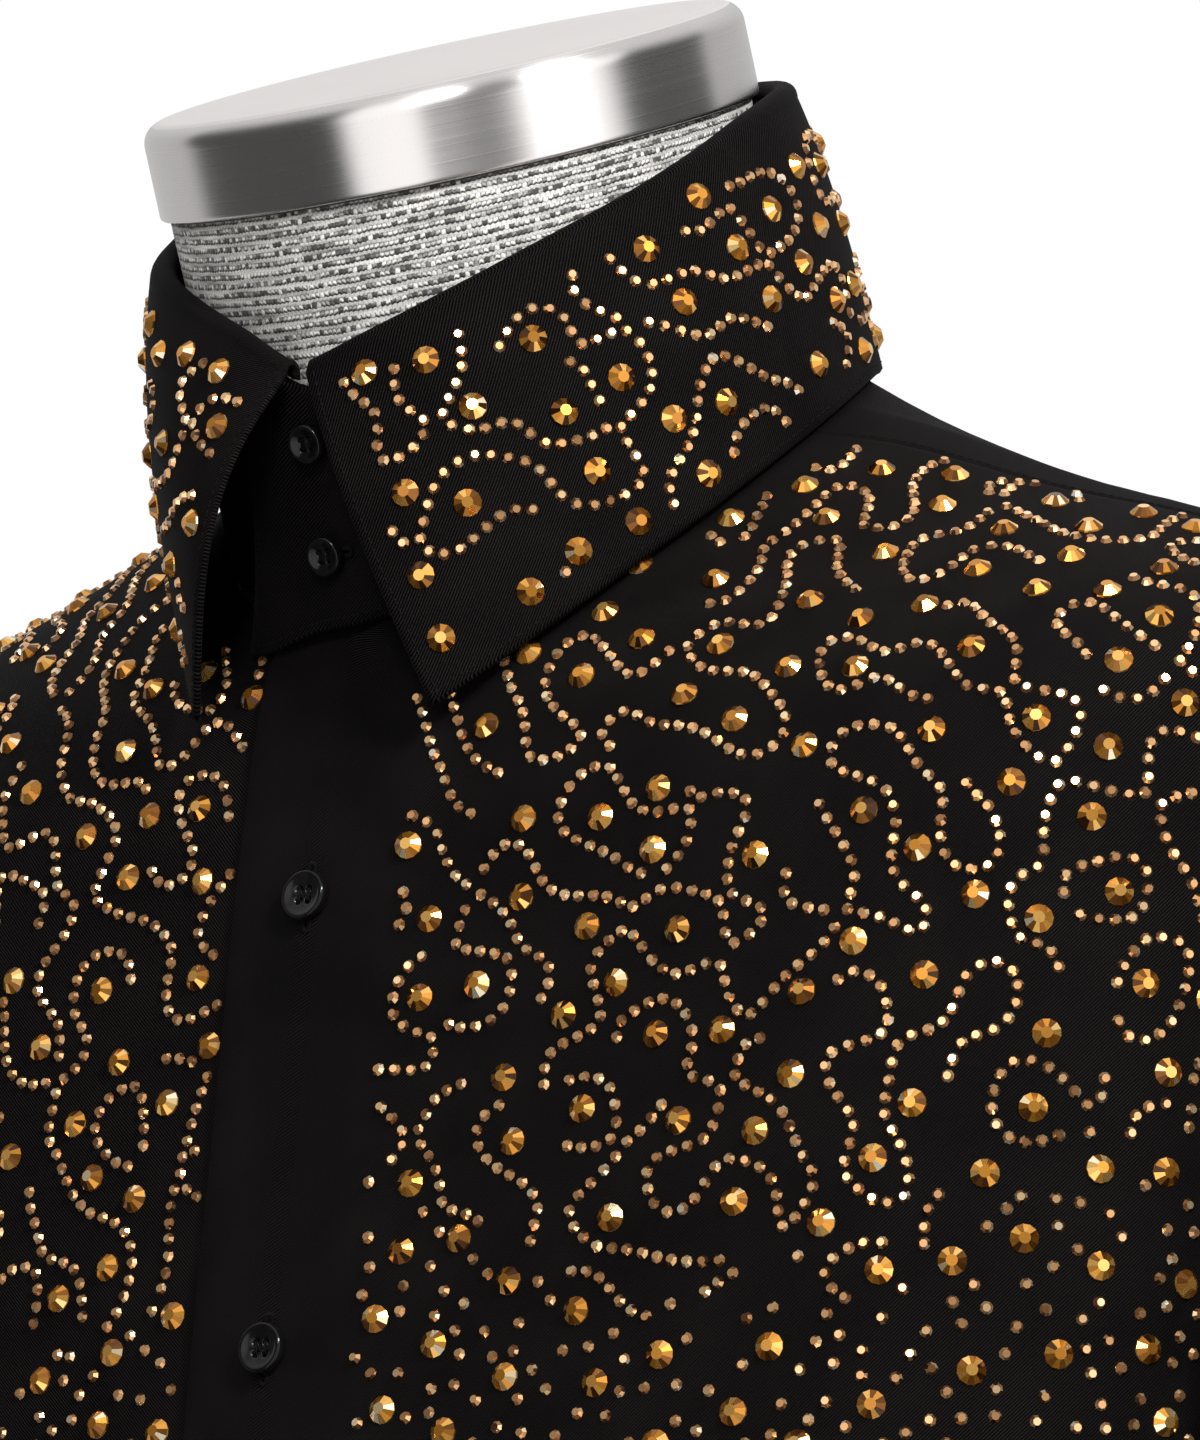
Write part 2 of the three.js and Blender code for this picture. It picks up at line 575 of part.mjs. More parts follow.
function sleeveCloth(turn, share, out) {
  const normal = normalOf(sleeveMiddle, turn, clamp(share, 0.012, 0.99), 0.02, 0.01);
  const middle = sleeveMiddle(turn, share);
  const degrees = THREE.MathUtils.radToDeg(turn);
  const nearEnd = smooth(0, 0.12, share) * (1 - smooth(0.93, 1, share));
  const fold = sleeveFolds.reduce((sum, f) => {
    const around = Math.abs(THREE.MathUtils.euclideanModulo(degrees - f.turn + 180, 360) - 180);
    return sum + f.depth * bell((middle.z - f.z - 0.35 * around) / f.width) * bell(around / 75);
  }, 0);
  return moved(middle, normal, out + fold * nearEnd);
}
const shareRows = [0, 0.06, 0.12, 0.2, 0.3, 0.38, 0.46, 0.54, 0.62, 0.7, 0.78, 0.86, 0.92, 0.965, 1];
{
  const half = clothThickness / 2;
  const columns = 360 / armholeStep;
  const layer = out => shareRows.map(share => Array.from({ length: columns }, (_, c) =>
    sleeveCloth(2 * Math.PI * c / columns, share, out)));
  const sleeve = wall(layer(-half), layer(half), true);
  piece('sleeve_left', sleeve, blackCloth);
  piece('sleeve_right', mirror(sleeve), blackCloth);
}

// ---- sleeve plackets: a strip on the sleeve over its opening
{
  const layer = out => grid(5, 2, (s, t) => {
    const z = mix(sleevePlacket.top, sleevePlacket.bottom, t);
    const down = (sleeveRows[0].z - z) / (sleeveRows[0].z - sleeveRows.at(-1).z);
    const share = mix(hangShare, 1, down);
    const turn = radians(-sleevePlacket.turn + mix(-sleevePlacket.halfTurn, sleevePlacket.halfTurn, s));
    return sleeveCloth(turn, share, out);
  });
  const from = clothThickness / 2 + 0.6;
  const strip = wall(layer(from), layer(from + clothThickness));
  piece('sleeve_placket_left', strip, blackCloth);
  piece('sleeve_placket_right', mirror(strip), blackCloth);
}

// ---- cuffs: a band round the wrist, one end lying on the other
const cuffStart = radians(-75);
const cuffOverlap = radians(24);
function cuffPoint(turn, t) {
  const grow = cuff.flare * t;
  return new THREE.Vector3(
    cuff.x + (cuff.halfX + grow) * Math.cos(turn),
    cuff.y - (cuff.halfY + grow) * Math.sin(turn),
    mix(cuff.top - seamGap, cuff.bottom, t));
}
const cuffCloth = (turn, t, out) => moved(cuffPoint(turn, t), normalOf(cuffPoint, turn, t, 0.01, 0.01), out);
{
  const layer = out => grid(2, 20, (s, t) => {
    const turn = cuffStart + mix(-cuffOverlap / 2, 2 * Math.PI + cuffOverlap / 2, s);
    const lift = cuff.overlapLift * (1 - smooth(0.02, 0.22, s));
    return cuffCloth(turn, t, out + lift);
  });
  const band = wall(layer(-standThickness / 2), layer(standThickness / 2));
  piece('cuff_left', band, blackCloth);
  piece('cuff_right', mirror(band), blackCloth);
}

// ---- buttons: a dished disc on its own axis, turned to face along a direction
const lathe = (profile, segments) =>
  new THREE.LatheGeometry(profile.map(([x, y]) => new THREE.Vector2(x, y)), segments);
function buttonGeometry(radius) {
  const top = [[radius, 1.3], [radius - 1.1, buttonThickness], [radius * 0.45, 1.4], [0, 1.4]];
  return lathe([[0, 0], [radius - 1.2, 0], ...top], 10);
}
function button(name, radius, point, facing) {
  const mesh = piece(name, buttonGeometry(radius), blackButton);
  mesh.quaternion.setFromUnitVectors(new THREE.Vector3(0, 1, 0), facing);
  mesh.position.copy(point);
}
frontButtonHeights.forEach((z, i) => {
  const level = levelAtHeight(z, 0);
  const facing = normalOf(bodyPoint, 0, level, 0.01, 0.02);
  const point = bodyCloth(0, level, frontLift + clothThickness + seamGap);
  button(`button_front_${i + 1}`, buttonRadius, point, facing);
});
collarButtonShares.forEach((share, i) => {
  const facing = normalOf(standRing, 0, share, 0.01, 0.01);
  const point = standCloth(0, share, standLift(0, share) + standThickness + 3 * seamGap);
  button(`button_collar_${i + 1}`, smallButtonRadius, point, facing);
});
{
  const turn = cuffStart;
  const lift = cuff.overlapLift + standThickness / 2 - 0.25;
  const facing = normalOf(cuffPoint, turn, 0.5, 0.01, 0.01);
  const point = cuffCloth(turn, 0.5, lift);
  button('button_cuff_left', smallButtonRadius, point, facing);
  const across = new THREE.Vector3(-1, 1, 1);
  const [otherPoint, otherFacing] = [point, facing].map(v => v.clone().multiply(across));
  button('button_cuff_right', smallButtonRadius, otherPoint, otherFacing);
}

// point in the leaning cap's own measures: round it, out from its axis and up along it
const lean = radians(cap.lean);
const capPoint = (angle, radius, height) => new THREE.Vector3(
  radius * Math.sin(angle),
  cap.y - radius * Math.cos(angle) * Math.cos(lean) - height * Math.sin(lean),
  cap.z - radius * Math.cos(angle) * Math.sin(lean) + height * Math.cos(lean));

// ---- display form: one closed body under the cloth, up to the neck cap
{
  const columns = 32;
  const formLevels = [
    formBottom.level, 1.4, 2.2, 3, 3.8, 4.6, 5.4, 6.2, 7, 7.7, 8.4, 9, 9.5, 10.2, 11, 11.6, 12.3, 13];
  const ring = point => Array.from({ length: columns }, (_, c) => point(2 * Math.PI * c / columns));
  const rings = formLevels.map(level => {
    const { ease } = rowAt(levels, level);
    const inward = angle => normalOf(bodyPoint, angle, level, 0.01, 0.02).negate();
    return ring(angle => moved(bodyPoint(angle, level), inward(angle), ease));
  });
  const bottomRing = rings[0];
  const middleY = (bottomRing[0].y + bottomRing[columns / 2].y) / 2;
  const centre = new THREE.Vector3(0, middleY, bottomRing[0].z - formBottom.rounding);
  const inset = 1 - formBottom.inset / rowAt(levels, formBottom.level).side;
  rings.unshift(ring(angle => {
    const p = bottomRing[Math.round(angle / (2 * Math.PI) * columns) % columns];
    return new THREE.Vector3(mix(centre.x, p.x, inset), mix(centre.y, p.y, inset), centre.z);
  }));
  rings.push(ring(angle => ringPoint(neckRow, angle)), ring(angle => capPoint(angle, neckRadius, -seamGap)));
  const points = rings.flat();
  const triangles = [];
  for (let r = 0; r < rings.length - 1; r++) {
    for (let c = 0; c < columns; c++) {
      const [a, b] = [r * columns + c, r * columns + (c + 1) % columns];
      triangles.push([a, b, b + columns], [a, b + columns, a + columns]);
    }
  }
  const topStart = (rings.length - 1) * columns;
  const [bottomCentre, topCentre] = [points.length, points.length + 1];
  points.push(centre, capPoint(0, 0, -seamGap));
  for (let c = 0; c < columns; c++) {
    const next = (c + 1) % columns;
    triangles.push([bottomCentre, next, c], [topCentre, topStart + c, topStart + next]);
  }
  piece('form_body', solidFromTriangles(points, triangles), formCloth);
}

// ---- metal neck cap, square to the leaning neck
{
  const { radius, height, edge, dome } = cap;
  const corner = [0, 30, 60, 90].map(a =>
    [radius - edge * (1 - Math.cos(radians(a))), height - edge * (1 - Math.sin(radians(a)))]);
  const rim = [[0, 0], [radius - 0.6, 0], [radius, 0.8], ...corner];
  const top = [[radius * 0.5, height + dome * 0.75], [0, height + dome]];
  const mesh = piece('neck_cap', lathe([...rim, ...top], 32), steel);
  const axis = new THREE.Vector3(0, -Math.sin(lean), Math.cos(lean));
  mesh.quaternion.setFromUnitVectors(new THREE.Vector3(0, 1, 0), axis);
  mesh.position.set(0, cap.y, cap.z);
}

// ---- pole with its flange under the form, and the round base
{
  const upright = (name, profile, segments, surface) => {
    const mesh = piece(name, lathe(profile, segments), surface);
    mesh.rotation.x = Math.PI / 2;
  };
  const top = bodyPoint(0, formBottom.level).z - formBottom.rounding - seamGap;
  const underFlange = top - pole.flangeThickness;
  const { flangeRadius } = pole;
  const flange = [[flangeRadius, underFlange], [flangeRadius, top], [0, top]];
  const shaft = [[0, pole.bottom], [poleRadius, pole.bottom], [poleRadius, underFlange]];
  upright('pole', [...shaft, ...flange], 20, steel);
  const rim = [[baseRadius, 0], [baseRadius, baseThickness - 3], [baseRadius - 3, baseThickness]];
  upright('base', [[0, 0], ...rim, [0, baseThickness]], 32, paintedSteel);
}

export default group;
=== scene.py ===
import bpy
import mathutils
import numpy as np
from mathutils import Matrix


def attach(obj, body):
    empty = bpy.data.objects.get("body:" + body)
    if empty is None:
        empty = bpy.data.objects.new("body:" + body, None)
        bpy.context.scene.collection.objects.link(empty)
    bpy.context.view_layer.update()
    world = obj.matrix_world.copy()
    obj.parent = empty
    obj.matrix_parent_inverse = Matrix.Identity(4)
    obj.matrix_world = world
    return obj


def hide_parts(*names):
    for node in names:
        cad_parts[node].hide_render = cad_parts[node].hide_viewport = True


# Dress shirt on a limbless form. Shapes are worked out in millimetres and put into the meshes in metres.
# +Z is up, -Y the buttoned front, +X the wearer's left. Angles run from the front towards +X.
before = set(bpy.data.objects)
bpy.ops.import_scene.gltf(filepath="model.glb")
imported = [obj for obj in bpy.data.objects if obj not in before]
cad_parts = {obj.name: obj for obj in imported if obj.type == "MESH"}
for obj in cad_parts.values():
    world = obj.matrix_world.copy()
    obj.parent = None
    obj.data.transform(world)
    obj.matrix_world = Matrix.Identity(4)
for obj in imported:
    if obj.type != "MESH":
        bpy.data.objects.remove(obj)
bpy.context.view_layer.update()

# ---------------------------------------------------------------- camera
cameraView = {"azimuth": 35.0, "elevation": -10.0, "distance": 2.0, "target": (0.063, -0.0657, 0.900), "width": 0.26087}


def addCamera(view):  # looks from distance along the azimuth and elevation at the target; width is the frame's there
    a, e = np.radians(view["azimuth"]), np.radians(view["elevation"])
    back = np.array([np.sin(a) * np.cos(e), -np.cos(a) * np.cos(e), np.sin(e)])
    right = np.array([np.cos(a), np.sin(a), 0.0])
    up = np.cross(back, right)
    data = bpy.data.cameras.new("camera")
    data.sensor_fit, data.sensor_width = "HORIZONTAL", 36.0
    data.lens = 36.0 * view["distance"] / view["width"]
    data.clip_start, data.clip_end = 0.05, 60.0
    camera = bpy.data.objects.new("camera", data)
    place = np.array(view["target"]) + back * view["distance"]
    camera.matrix_world = mathutils.Matrix([[right[i], up[i], back[i], place[i]] for i in range(3)] + [[0, 0, 0, 1]])
    bpy.context.scene.collection.objects.link(camera)
    bpy.context.scene.camera = camera
    return camera


addCamera(cameraView)


# ---------------------------------------------------------------- small helpers
def mix(a, b, t):
    return a + (b - a) * t


def smooth(low, high, x):
    t = np.clip((x - low) / (high - low), 0, 1)
    return t * t * (3 - 2 * t)


def bell(x):
    return np.exp(-x * x)


def unit(v):
    return v / np.maximum(np.linalg.norm(v, axis=-1, keepdims=True), 1e-12)


def signedPower(x, power):
    return np.sign(x) * np.abs(x) ** power


def rowsAt(table, place):  # Catmull-Rom through evenly numbered rows, one value for each named column
    grid = np.array([table[key] for key in table], float)
    last = grid.shape[1] - 1
    place = np.clip(np.asarray(place, float), 0, last)
    i = np.clip(np.floor(place).astype(int), 0, last - 1)
    t = place - i
    a, b, c, d = (grid[:, np.clip(i + k, 0, last)] for k in (-1, 0, 1, 2))
    value = 0.5 * (2 * b + (c - a) * t + (2 * a - 5 * b + 4 * c - d) * t**2 + (3 * b - a - 3 * c + d) * t**3)
    return dict(zip(table, value))


def ringPoint(row, angle):  # superellipse in X, and a curve through front, side and back in Y and Z
    c = signedPower(np.cos(angle), 2 / row["squareness"])
    s = signedPower(np.sin(angle), 2 / row["squareness"])

    def through(front, side, back, share):
        slope = share * (back - front) / 2
        return side - slope * c + np.where(c > 0, front - side + slope, back - side - slope) * c * c

    y = through(row["frontY"], row["sideY"], row["backY"], 1.0)
    z = through(row["frontZ"], row["sideZ"], row["backZ"], np.where(c > 0, row["slopeFront"], row["slopeBack"]))
    return np.stack(np.broadcast_arrays(row["side"] * s, y, z), -1)


def normalOf(surface, a, b, stepA, stepB):  # unit normal by central differences
    return unit(np.cross(surface(a + stepA, b) - surface(a - stepA, b), surface(a, b + stepB) - surface(a, b - stepB)))


def joined(share, *runs):  # routes end to end, each with its own number of steps
    total, start, out = sum(n for n, _ in runs), 0, None
    place = np.asarray(share, float) * total
    for n, run in runs:
        part = run(np.clip((place - start) / n, 0, 1))
        out = part if out is None else np.where((place > start + 1e-9)[..., None], part, out)
        start += n
    return out


def patch(bottom, top, left, right, s, t):  # Coons patch: bottom and top run across, left and right run up
    s, t = s[None, :, None], t[:, None, None]
    corners = mix(mix(bottom[0], bottom[-1], s), mix(top[0], top[-1], s), t)
    return mix(bottom[None], top[None], t) + mix(left[:, None], right[:, None], s) - corners


# ---------------------------------------------------------------- body surface of the cloth
clothSizes = {"wall": 1.2, "seamGap": 0.16, "frontLift": 1.7, "frontEdge": 20.5, "liftFadesAt": 62,
              "shell": 0.7, "standWall": 1.6, "foldRadius": 2.3}

bodyLevels = {
    "side": [196, 193, 188, 185, 187, 192, 197, 203, 208, 209, 179, 141, 101, 72],
    "sideY": [0, 0, 0, 0, 0, 0, 2, 4, 6, 7, 8, 9, 8, -2],
    "sideZ": [150, 270, 390, 500, 610, 700, 765, 828, 884, 926, 942.5, 956, 972.5, 981],
    "frontY": [-128, -126, -121, -116, -112, -106, -98, -90, -84, -79.5, -76.5, -74, -71.5, -69.5],
    "frontZ": [150, 270, 390, 500, 610, 700, 765, 820, 862, 888, 903, 913, 920.5, 926],
    "backY": [136, 137, 130, 122, 120, 122, 123, 119, 110, 97, 86, 75, 63, 52],
    "backZ": [150, 270, 390, 500, 610, 700, 772, 840, 900, 944, 965, 981, 994, 1003],
    "slopeFront": [1, 1, 1, 1, 1, 1, 1, 0.9, 0.6, 0.55, 0.6, 0.62, 0.62, 1],
    "slopeBack": [1, 1, 1, 1, 1, 1, 1, 0.9, 0.6, 0.2, -0.1, -0.1, 0.1, 1],
    "squareness": [2.25, 2.25, 2.3, 2.35, 2.45, 2.6, 2.8, 2.9, 2.85, 2.55, 2.25, 2.1, 2.0, 1.95],
    "ease": [11.5, 11, 11, 12, 9.5, 6, 4, 3, 4, 5.5, 4, 3, 3.6, 5.5],
    "fold": [1, 0.9, 0.9, 1, 0.75, 0.35, 0.1, 0, 0, 0, 0, 0, 0, 0],
}
neckLevel = 13
bodyFolds = {
    "angle": [32, 47, 66, 104, 124, 150, 172, 196, 222, 248, 292, 315, 330],
    "width": [9, 8, 10, 9, 9, 9, 8, 9, 9, 10, 10, 8, 8],
    "depth": [-7, 6, -8, 7, -7, 6, -6, 5, -7, 7, -8, 6, -6],
    "lean": [2, 2.5, 1, -1, -2, -1.5, 0.5, 1, 1.5, 1, -1, -2.5, -2],
}


def bodyPoint(angle, level):
    return ringPoint(rowsAt(bodyLevels, level), angle)


def foldAt(angle, level):  # soft vertical folds of the hanging cloth, a bell for each
    turn = np.mod(np.degrees(angle), 360)[..., None]
    level = np.asarray(level, float)
    share = rowsAt(bodyLevels, level)["fold"]
    at, width, depth, lean = (np.array(bodyFolds[k], float) for k in ("angle", "width", "depth", "lean"))
    return share * (depth * bell((turn - at - lean * (3 - level[..., None])) / width)).sum(-1)


def bodyNormal(angle, level):
    return normalOf(bodyPoint, angle, level, 0.01, 0.02)


def bodyCloth(angle, level, out):
    return bodyPoint(angle, level) + bodyNormal(angle, level) * (out + foldAt(angle, level))[..., None]


def angleAtSide(level, x):  # angle at which a level passes a sideways place, near the front
    row = rowsAt(bodyLevels, level)
    return np.sign(x) * np.arcsin(np.clip(np.abs(x) / row["side"], 0, 1) ** (row["squareness"] / 2))


def levelAtHeight(z, angle):  # by halving
    z, angle = np.broadcast_arrays(np.asarray(z, float), np.asarray(angle, float))
    low, high = np.zeros(z.shape), np.full(z.shape, float(neckLevel))
    for _ in range(34):
        middle = (low + high) / 2
        below = bodyPoint(angle, middle)[..., 2] < z
        low, high = np.where(below, middle, low), np.where(below, high, middle)
    return (low + high) / 2


def bodyLengths():  # lengths round and along the body, the cloth's own flat coordinates
    angles, levels = np.linspace(-0.6, 2 * np.pi + 0.6, 221), np.linspace(0, neckLevel, 131)
    p = bodyPoint(angles[None], levels[:, None])
    around = np.cumsum(np.linalg.norm(np.diff(p, axis=1, prepend=p[:, :1]), axis=-1), axis=1)
    along = np.cumsum(np.linalg.norm(np.diff(p, axis=0, prepend=p[:1]), axis=-1), axis=0)
    zero = np.argmin(np.abs(angles))
    return angles, levels, around - around[:, zero:zero + 1], along


arcAngles, arcLevels, arcAround, arcAlong = bodyLengths()


def bodyFlat(angle, level):  # flat place of a point, bilinear in the table of lengths
    x = np.clip((angle - arcAngles[0]) / (arcAngles[1] - arcAngles[0]), 0, len(arcAngles) - 1.001)
    y = np.clip((level - arcLevels[0]) / (arcLevels[1] - arcLevels[0]), 0, len(arcLevels) - 1.001)
    i, j = x.astype(int), y.astype(int)
    u, v = x - i, y - j
    return np.stack([(t[j, i] * (1 - u) + t[j, i + 1] * u) * (1 - v) + (t[j + 1, i] * (1 - u) + t[j + 1, i + 1] * u) * v
                     for t in (arcAround, arcAlong)], -1)


# ---------------------------------------------------------------- outlines on the body
hem = {"front": 186, "side": 252, "back": 166}
armhole = {"angle": 97, "level": 7.28, "forward": 20, "backward": 23, "halfLevel": 1.74, "shrink": 0.005, "step": 18}
yokeCut = {"neckAngle": 74, "frontTurn": 18, "backTurn": -54}
armpitLevel = armhole["level"] - armhole["halfLevel"]
seamRows, neckColumns, yokeSeamRows, backColumns = 10, 5, 6, 18
frontColumns = 2 + neckColumns + yokeSeamRows
overlapShare = 2 / frontColumns
armFrontRows = (180 - yokeCut["frontTurn"]) // armhole["step"]
armBackRows = (180 + yokeCut["backTurn"]) // armhole["step"]
yokeArmColumns = (yokeCut["frontTurn"] - yokeCut["backTurn"]) // armhole["step"]


def seamAngle(level):
    return clothSizes["seamGap"] / 2 / rowsAt(bodyLevels, level)["side"]


def hemLevel(angle):
    c = np.cos(angle)
    return levelAtHeight(hem["side"] + (np.where(c > 0, hem["front"], hem["back"]) - hem["side"]) * c * c, angle)


def armholeAt(turn, shrink=0.0):  # an oval in angle and level: turn 0 at the shoulder, 90 degrees at the front
    s = np.sin(turn)
    reach = np.radians(np.where(s > 0, armhole["forward"], armhole["backward"])) * (1 + shrink)
    return np.stack([np.radians(armhole["angle"]) - reach * s,
                     armhole["level"] + armhole["halfLevel"] * (1 + shrink) * np.cos(turn)], -1)


def armholeRun(start, end):
    return lambda t: armholeAt(np.radians(mix(start, end, t)), armhole["shrink"])


def mirrored(route):
    return np.stack([2 * np.pi - route[..., 0], route[..., 1]], -1)


def sideSeam(side):
    def run(t):
        edge = np.radians(armhole["angle"]) + side * seamAngle(1.0)
        level = mix(hemLevel(edge), armpitLevel - 0.004, t)
        return np.stack([np.radians(armhole["angle"]) + side * seamAngle(level), level], -1)
    return run


def yokeSeam(side):
    def run(u):
        share = 1 - (1 - u) ** 1.6
        armAngle, armLevel = armholeAt(np.radians(yokeCut["frontTurn"]), armhole["shrink"])
        level = mix(neckLevel, armLevel, share)
        return np.stack([mix(np.radians(yokeCut["neckAngle"]), armAngle, share) + side * seamAngle(level), level], -1)
    return run


def neckRun(start, end):
    return lambda t: np.stack([mix(start, end, t), np.full(np.shape(t), float(neckLevel))], -1)


def hemRun(start, end, share):  # along the hem by its real length
    angles = np.linspace(start, end, 49)
    levels = hemLevel(angles)
    lengths = np.concatenate([[0], np.cumsum(np.linalg.norm(np.diff(bodyPoint(angles, levels), axis=0), axis=-1))])
    places = share * lengths[-1]
    return np.stack([np.interp(places, lengths, angles), np.interp(places, lengths, levels)], -1)


def frontDomain(s, t):  # the left front: a band of even width at the middle, and a Coons patch beside it
    def edge(level):
        return angleAtSide(level, clothSizes["frontEdge"])
    bottomLevel = hemLevel(edge(0.0))
    leftLevel = mix(bottomLevel, neckLevel, 1 - (1 - t) ** 1.15)
    left = np.stack([edge(leftLevel), leftLevel], -1)
    right = joined(t, (seamRows, sideSeam(-1)), (armFrontRows, armholeRun(180, yokeCut["frontTurn"])))
    beside = s[s >= overlapShare - 1e-9]
    u = np.clip((beside - overlapShare) / (1 - overlapShare), 0, 1)
    bottom = hemRun(left[0, 0], right[0, 0], u)
    seamStart = yokeSeam(-1)(np.array(0.0))[0]
    top = joined(u, (neckColumns, neckRun(left[-1, 0], seamStart)), (yokeSeamRows, yokeSeam(-1)))
    panel = patch(bottom, top, left, right, u, t)
    x = mix(-clothSizes["frontEdge"], clothSizes["frontEdge"], s[s < overlapShare - 1e-9] / overlapShare)
    band = angleAtSide(leftLevel[:, None], x[None])
    band = np.stack([band, np.broadcast_to(leftLevel[:, None], band.shape)], -1)
    return np.concatenate([band, panel], 1)


def backDomain(s, t):
    left = joined(t, (seamRows, sideSeam(1)), (armBackRows, armholeRun(180, 360 + yokeCut["backTurn"])))
    bottom = hemRun(left[0, 0], 2 * np.pi - left[0, 0], s)
    top = np.stack([mix(left[-1, 0], 2 * np.pi - left[-1, 0], s), np.full(s.shape, left[-1, 1])], -1)
    return patch(bottom, top, left, mirrored(left), s, t)


def yokeDomain(s, t):
    raise_ = np.array([0, 0.006])

    def besideArm(u):
        return armholeRun(yokeCut["frontTurn"], yokeCut["backTurn"])(u) + raise_
    start = besideArm(np.array(1.0))
    across = lambda u: np.stack([mix(start[0], 2 * np.pi - start[0], u), np.full(np.shape(u), start[1])], -1)
    bottom = joined(s, (yokeArmColumns, besideArm), (backColumns, across), (yokeArmColumns, lambda u: mirrored(besideArm(1 - u))))
    left = yokeSeam(1)(1 - t) + raise_
    top = neckRun(left[-1, 0], 2 * np.pi - left[-1, 0])(s)
    return patch(bottom, top, left, mirrored(left), s, t)


# ---------------------------------------------------------------- meshes
def makeMesh(name, points, corners, sizes, flat=None, tone=None, soft=True):  # arrays straight into a mesh, in metres
    mesh = bpy.data.meshes.new(name)
    mesh.vertices.add(len(points))
    mesh.vertices.foreach_set("co", (np.asarray(points, float) * 0.001).astype(np.float32).ravel())
    corners, sizes = np.asarray(corners, np.int32).ravel(), np.asarray(sizes, np.int32)
    mesh.loops.add(len(corners))
    mesh.loops.foreach_set("vertex_index", corners)
    mesh.polygons.add(len(sizes))
    mesh.polygons.foreach_set("loop_start", np.concatenate([[0], np.cumsum(sizes)[:-1]]).astype(np.int32))
    mesh.polygons.foreach_set("use_smooth", np.full(len(sizes), soft))
    if flat is not None:
        layer = mesh.uv_layers.new(name="flat")
        layer.data.foreach_set("uv", (np.asarray(flat, float) * 0.001).astype(np.float32).ravel())
    if tone is not None:
        mesh.attributes.new("tone", "FLOAT", "FACE").data.foreach_set("value", np.asarray(tone, np.float32))
    mesh.update(calc_edges=True)
    mesh.validate()
    piece = bpy.data.objects.new(name, mesh)
    bpy.context.scene.collection.objects.link(piece)
    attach(piece, "root")
    return piece


def clothPiece(name, face, behind, flat, closed=False, mirror=False, rim=0.5):
    # a wall between two grids; face lies on the columns x rows side. The rim bulges out between them.
    rows, columns = face.shape[:2]
    middle = (face + behind) / 2
    out = np.zeros_like(face)
    out[0] += middle[0] - middle[1]
    out[-1] += middle[-1] - middle[-2]
    if not closed:
        out[:, 0] += unit(middle[:, 0] - middle[:, 1])
        out[:, -1] += unit(middle[:, -1] - middle[:, -2])
    wallThickness = np.linalg.norm(face - behind, axis=-1, keepdims=True)
    rimGrid = middle + unit(out) * wallThickness * rim
    points = np.concatenate([g.reshape(-1, 3) for g in (face, behind, rimGrid)])
    layer = rows * columns
    last = columns if closed else columns - 1
    r, c = np.meshgrid(np.arange(rows - 1), np.arange(last), indexing="ij")
    r, c = r.ravel(), c.ravel()
    quads = [np.stack([r, c, r, c + 1, r + 1, c + 1, r + 1, c], -1).reshape(-1, 4, 2)]
    layers = [np.zeros((len(r), 4), int)]
    quads.append(quads[0][:, ::-1])
    layers.append(np.ones((len(r), 4), int))
    cc, rr = np.arange(last), np.arange(rows - 1)
    runs = [np.stack([np.zeros(last, int), cc, np.zeros(last, int), cc + 1], -1).reshape(-1, 2, 2),
            np.stack([np.full(last, rows - 1), cc + 1, np.full(last, rows - 1), cc], -1).reshape(-1, 2, 2)]
    if not closed:
        runs.append(np.stack([rr, np.full(rows - 1, columns - 1), rr + 1, np.full(rows - 1, columns - 1)], -1).reshape(-1, 2, 2))
        runs.append(np.stack([rr + 1, np.zeros(rows - 1, int), rr, np.zeros(rows - 1, int)], -1).reshape(-1, 2, 2))
    edge = np.concatenate(runs)
    for near, far in ((0, 2), (2, 1)):
        quads.append(np.concatenate([edge[:, ::-1], edge], 1))
        layers.append(np.tile([near, near, far, far], (len(edge), 1)))
    quads, layers = np.concatenate(quads), np.concatenate(layers)
    if mirror:
        points = points * [-1, 1, 1]
        quads, layers = quads[:, ::-1], layers[:, ::-1]
    corners = layers * layer + quads[..., 0] * columns + quads[..., 1] % columns
    uv = flat[quads[..., 0], quads[..., 1]]
    used = np.zeros(3 * layer, bool)
    used[corners.ravel()] = True
    renumber = np.cumsum(used) - 1
    return makeMesh(name, points[used], renumber[corners], np.full(len(corners), 4), uv)


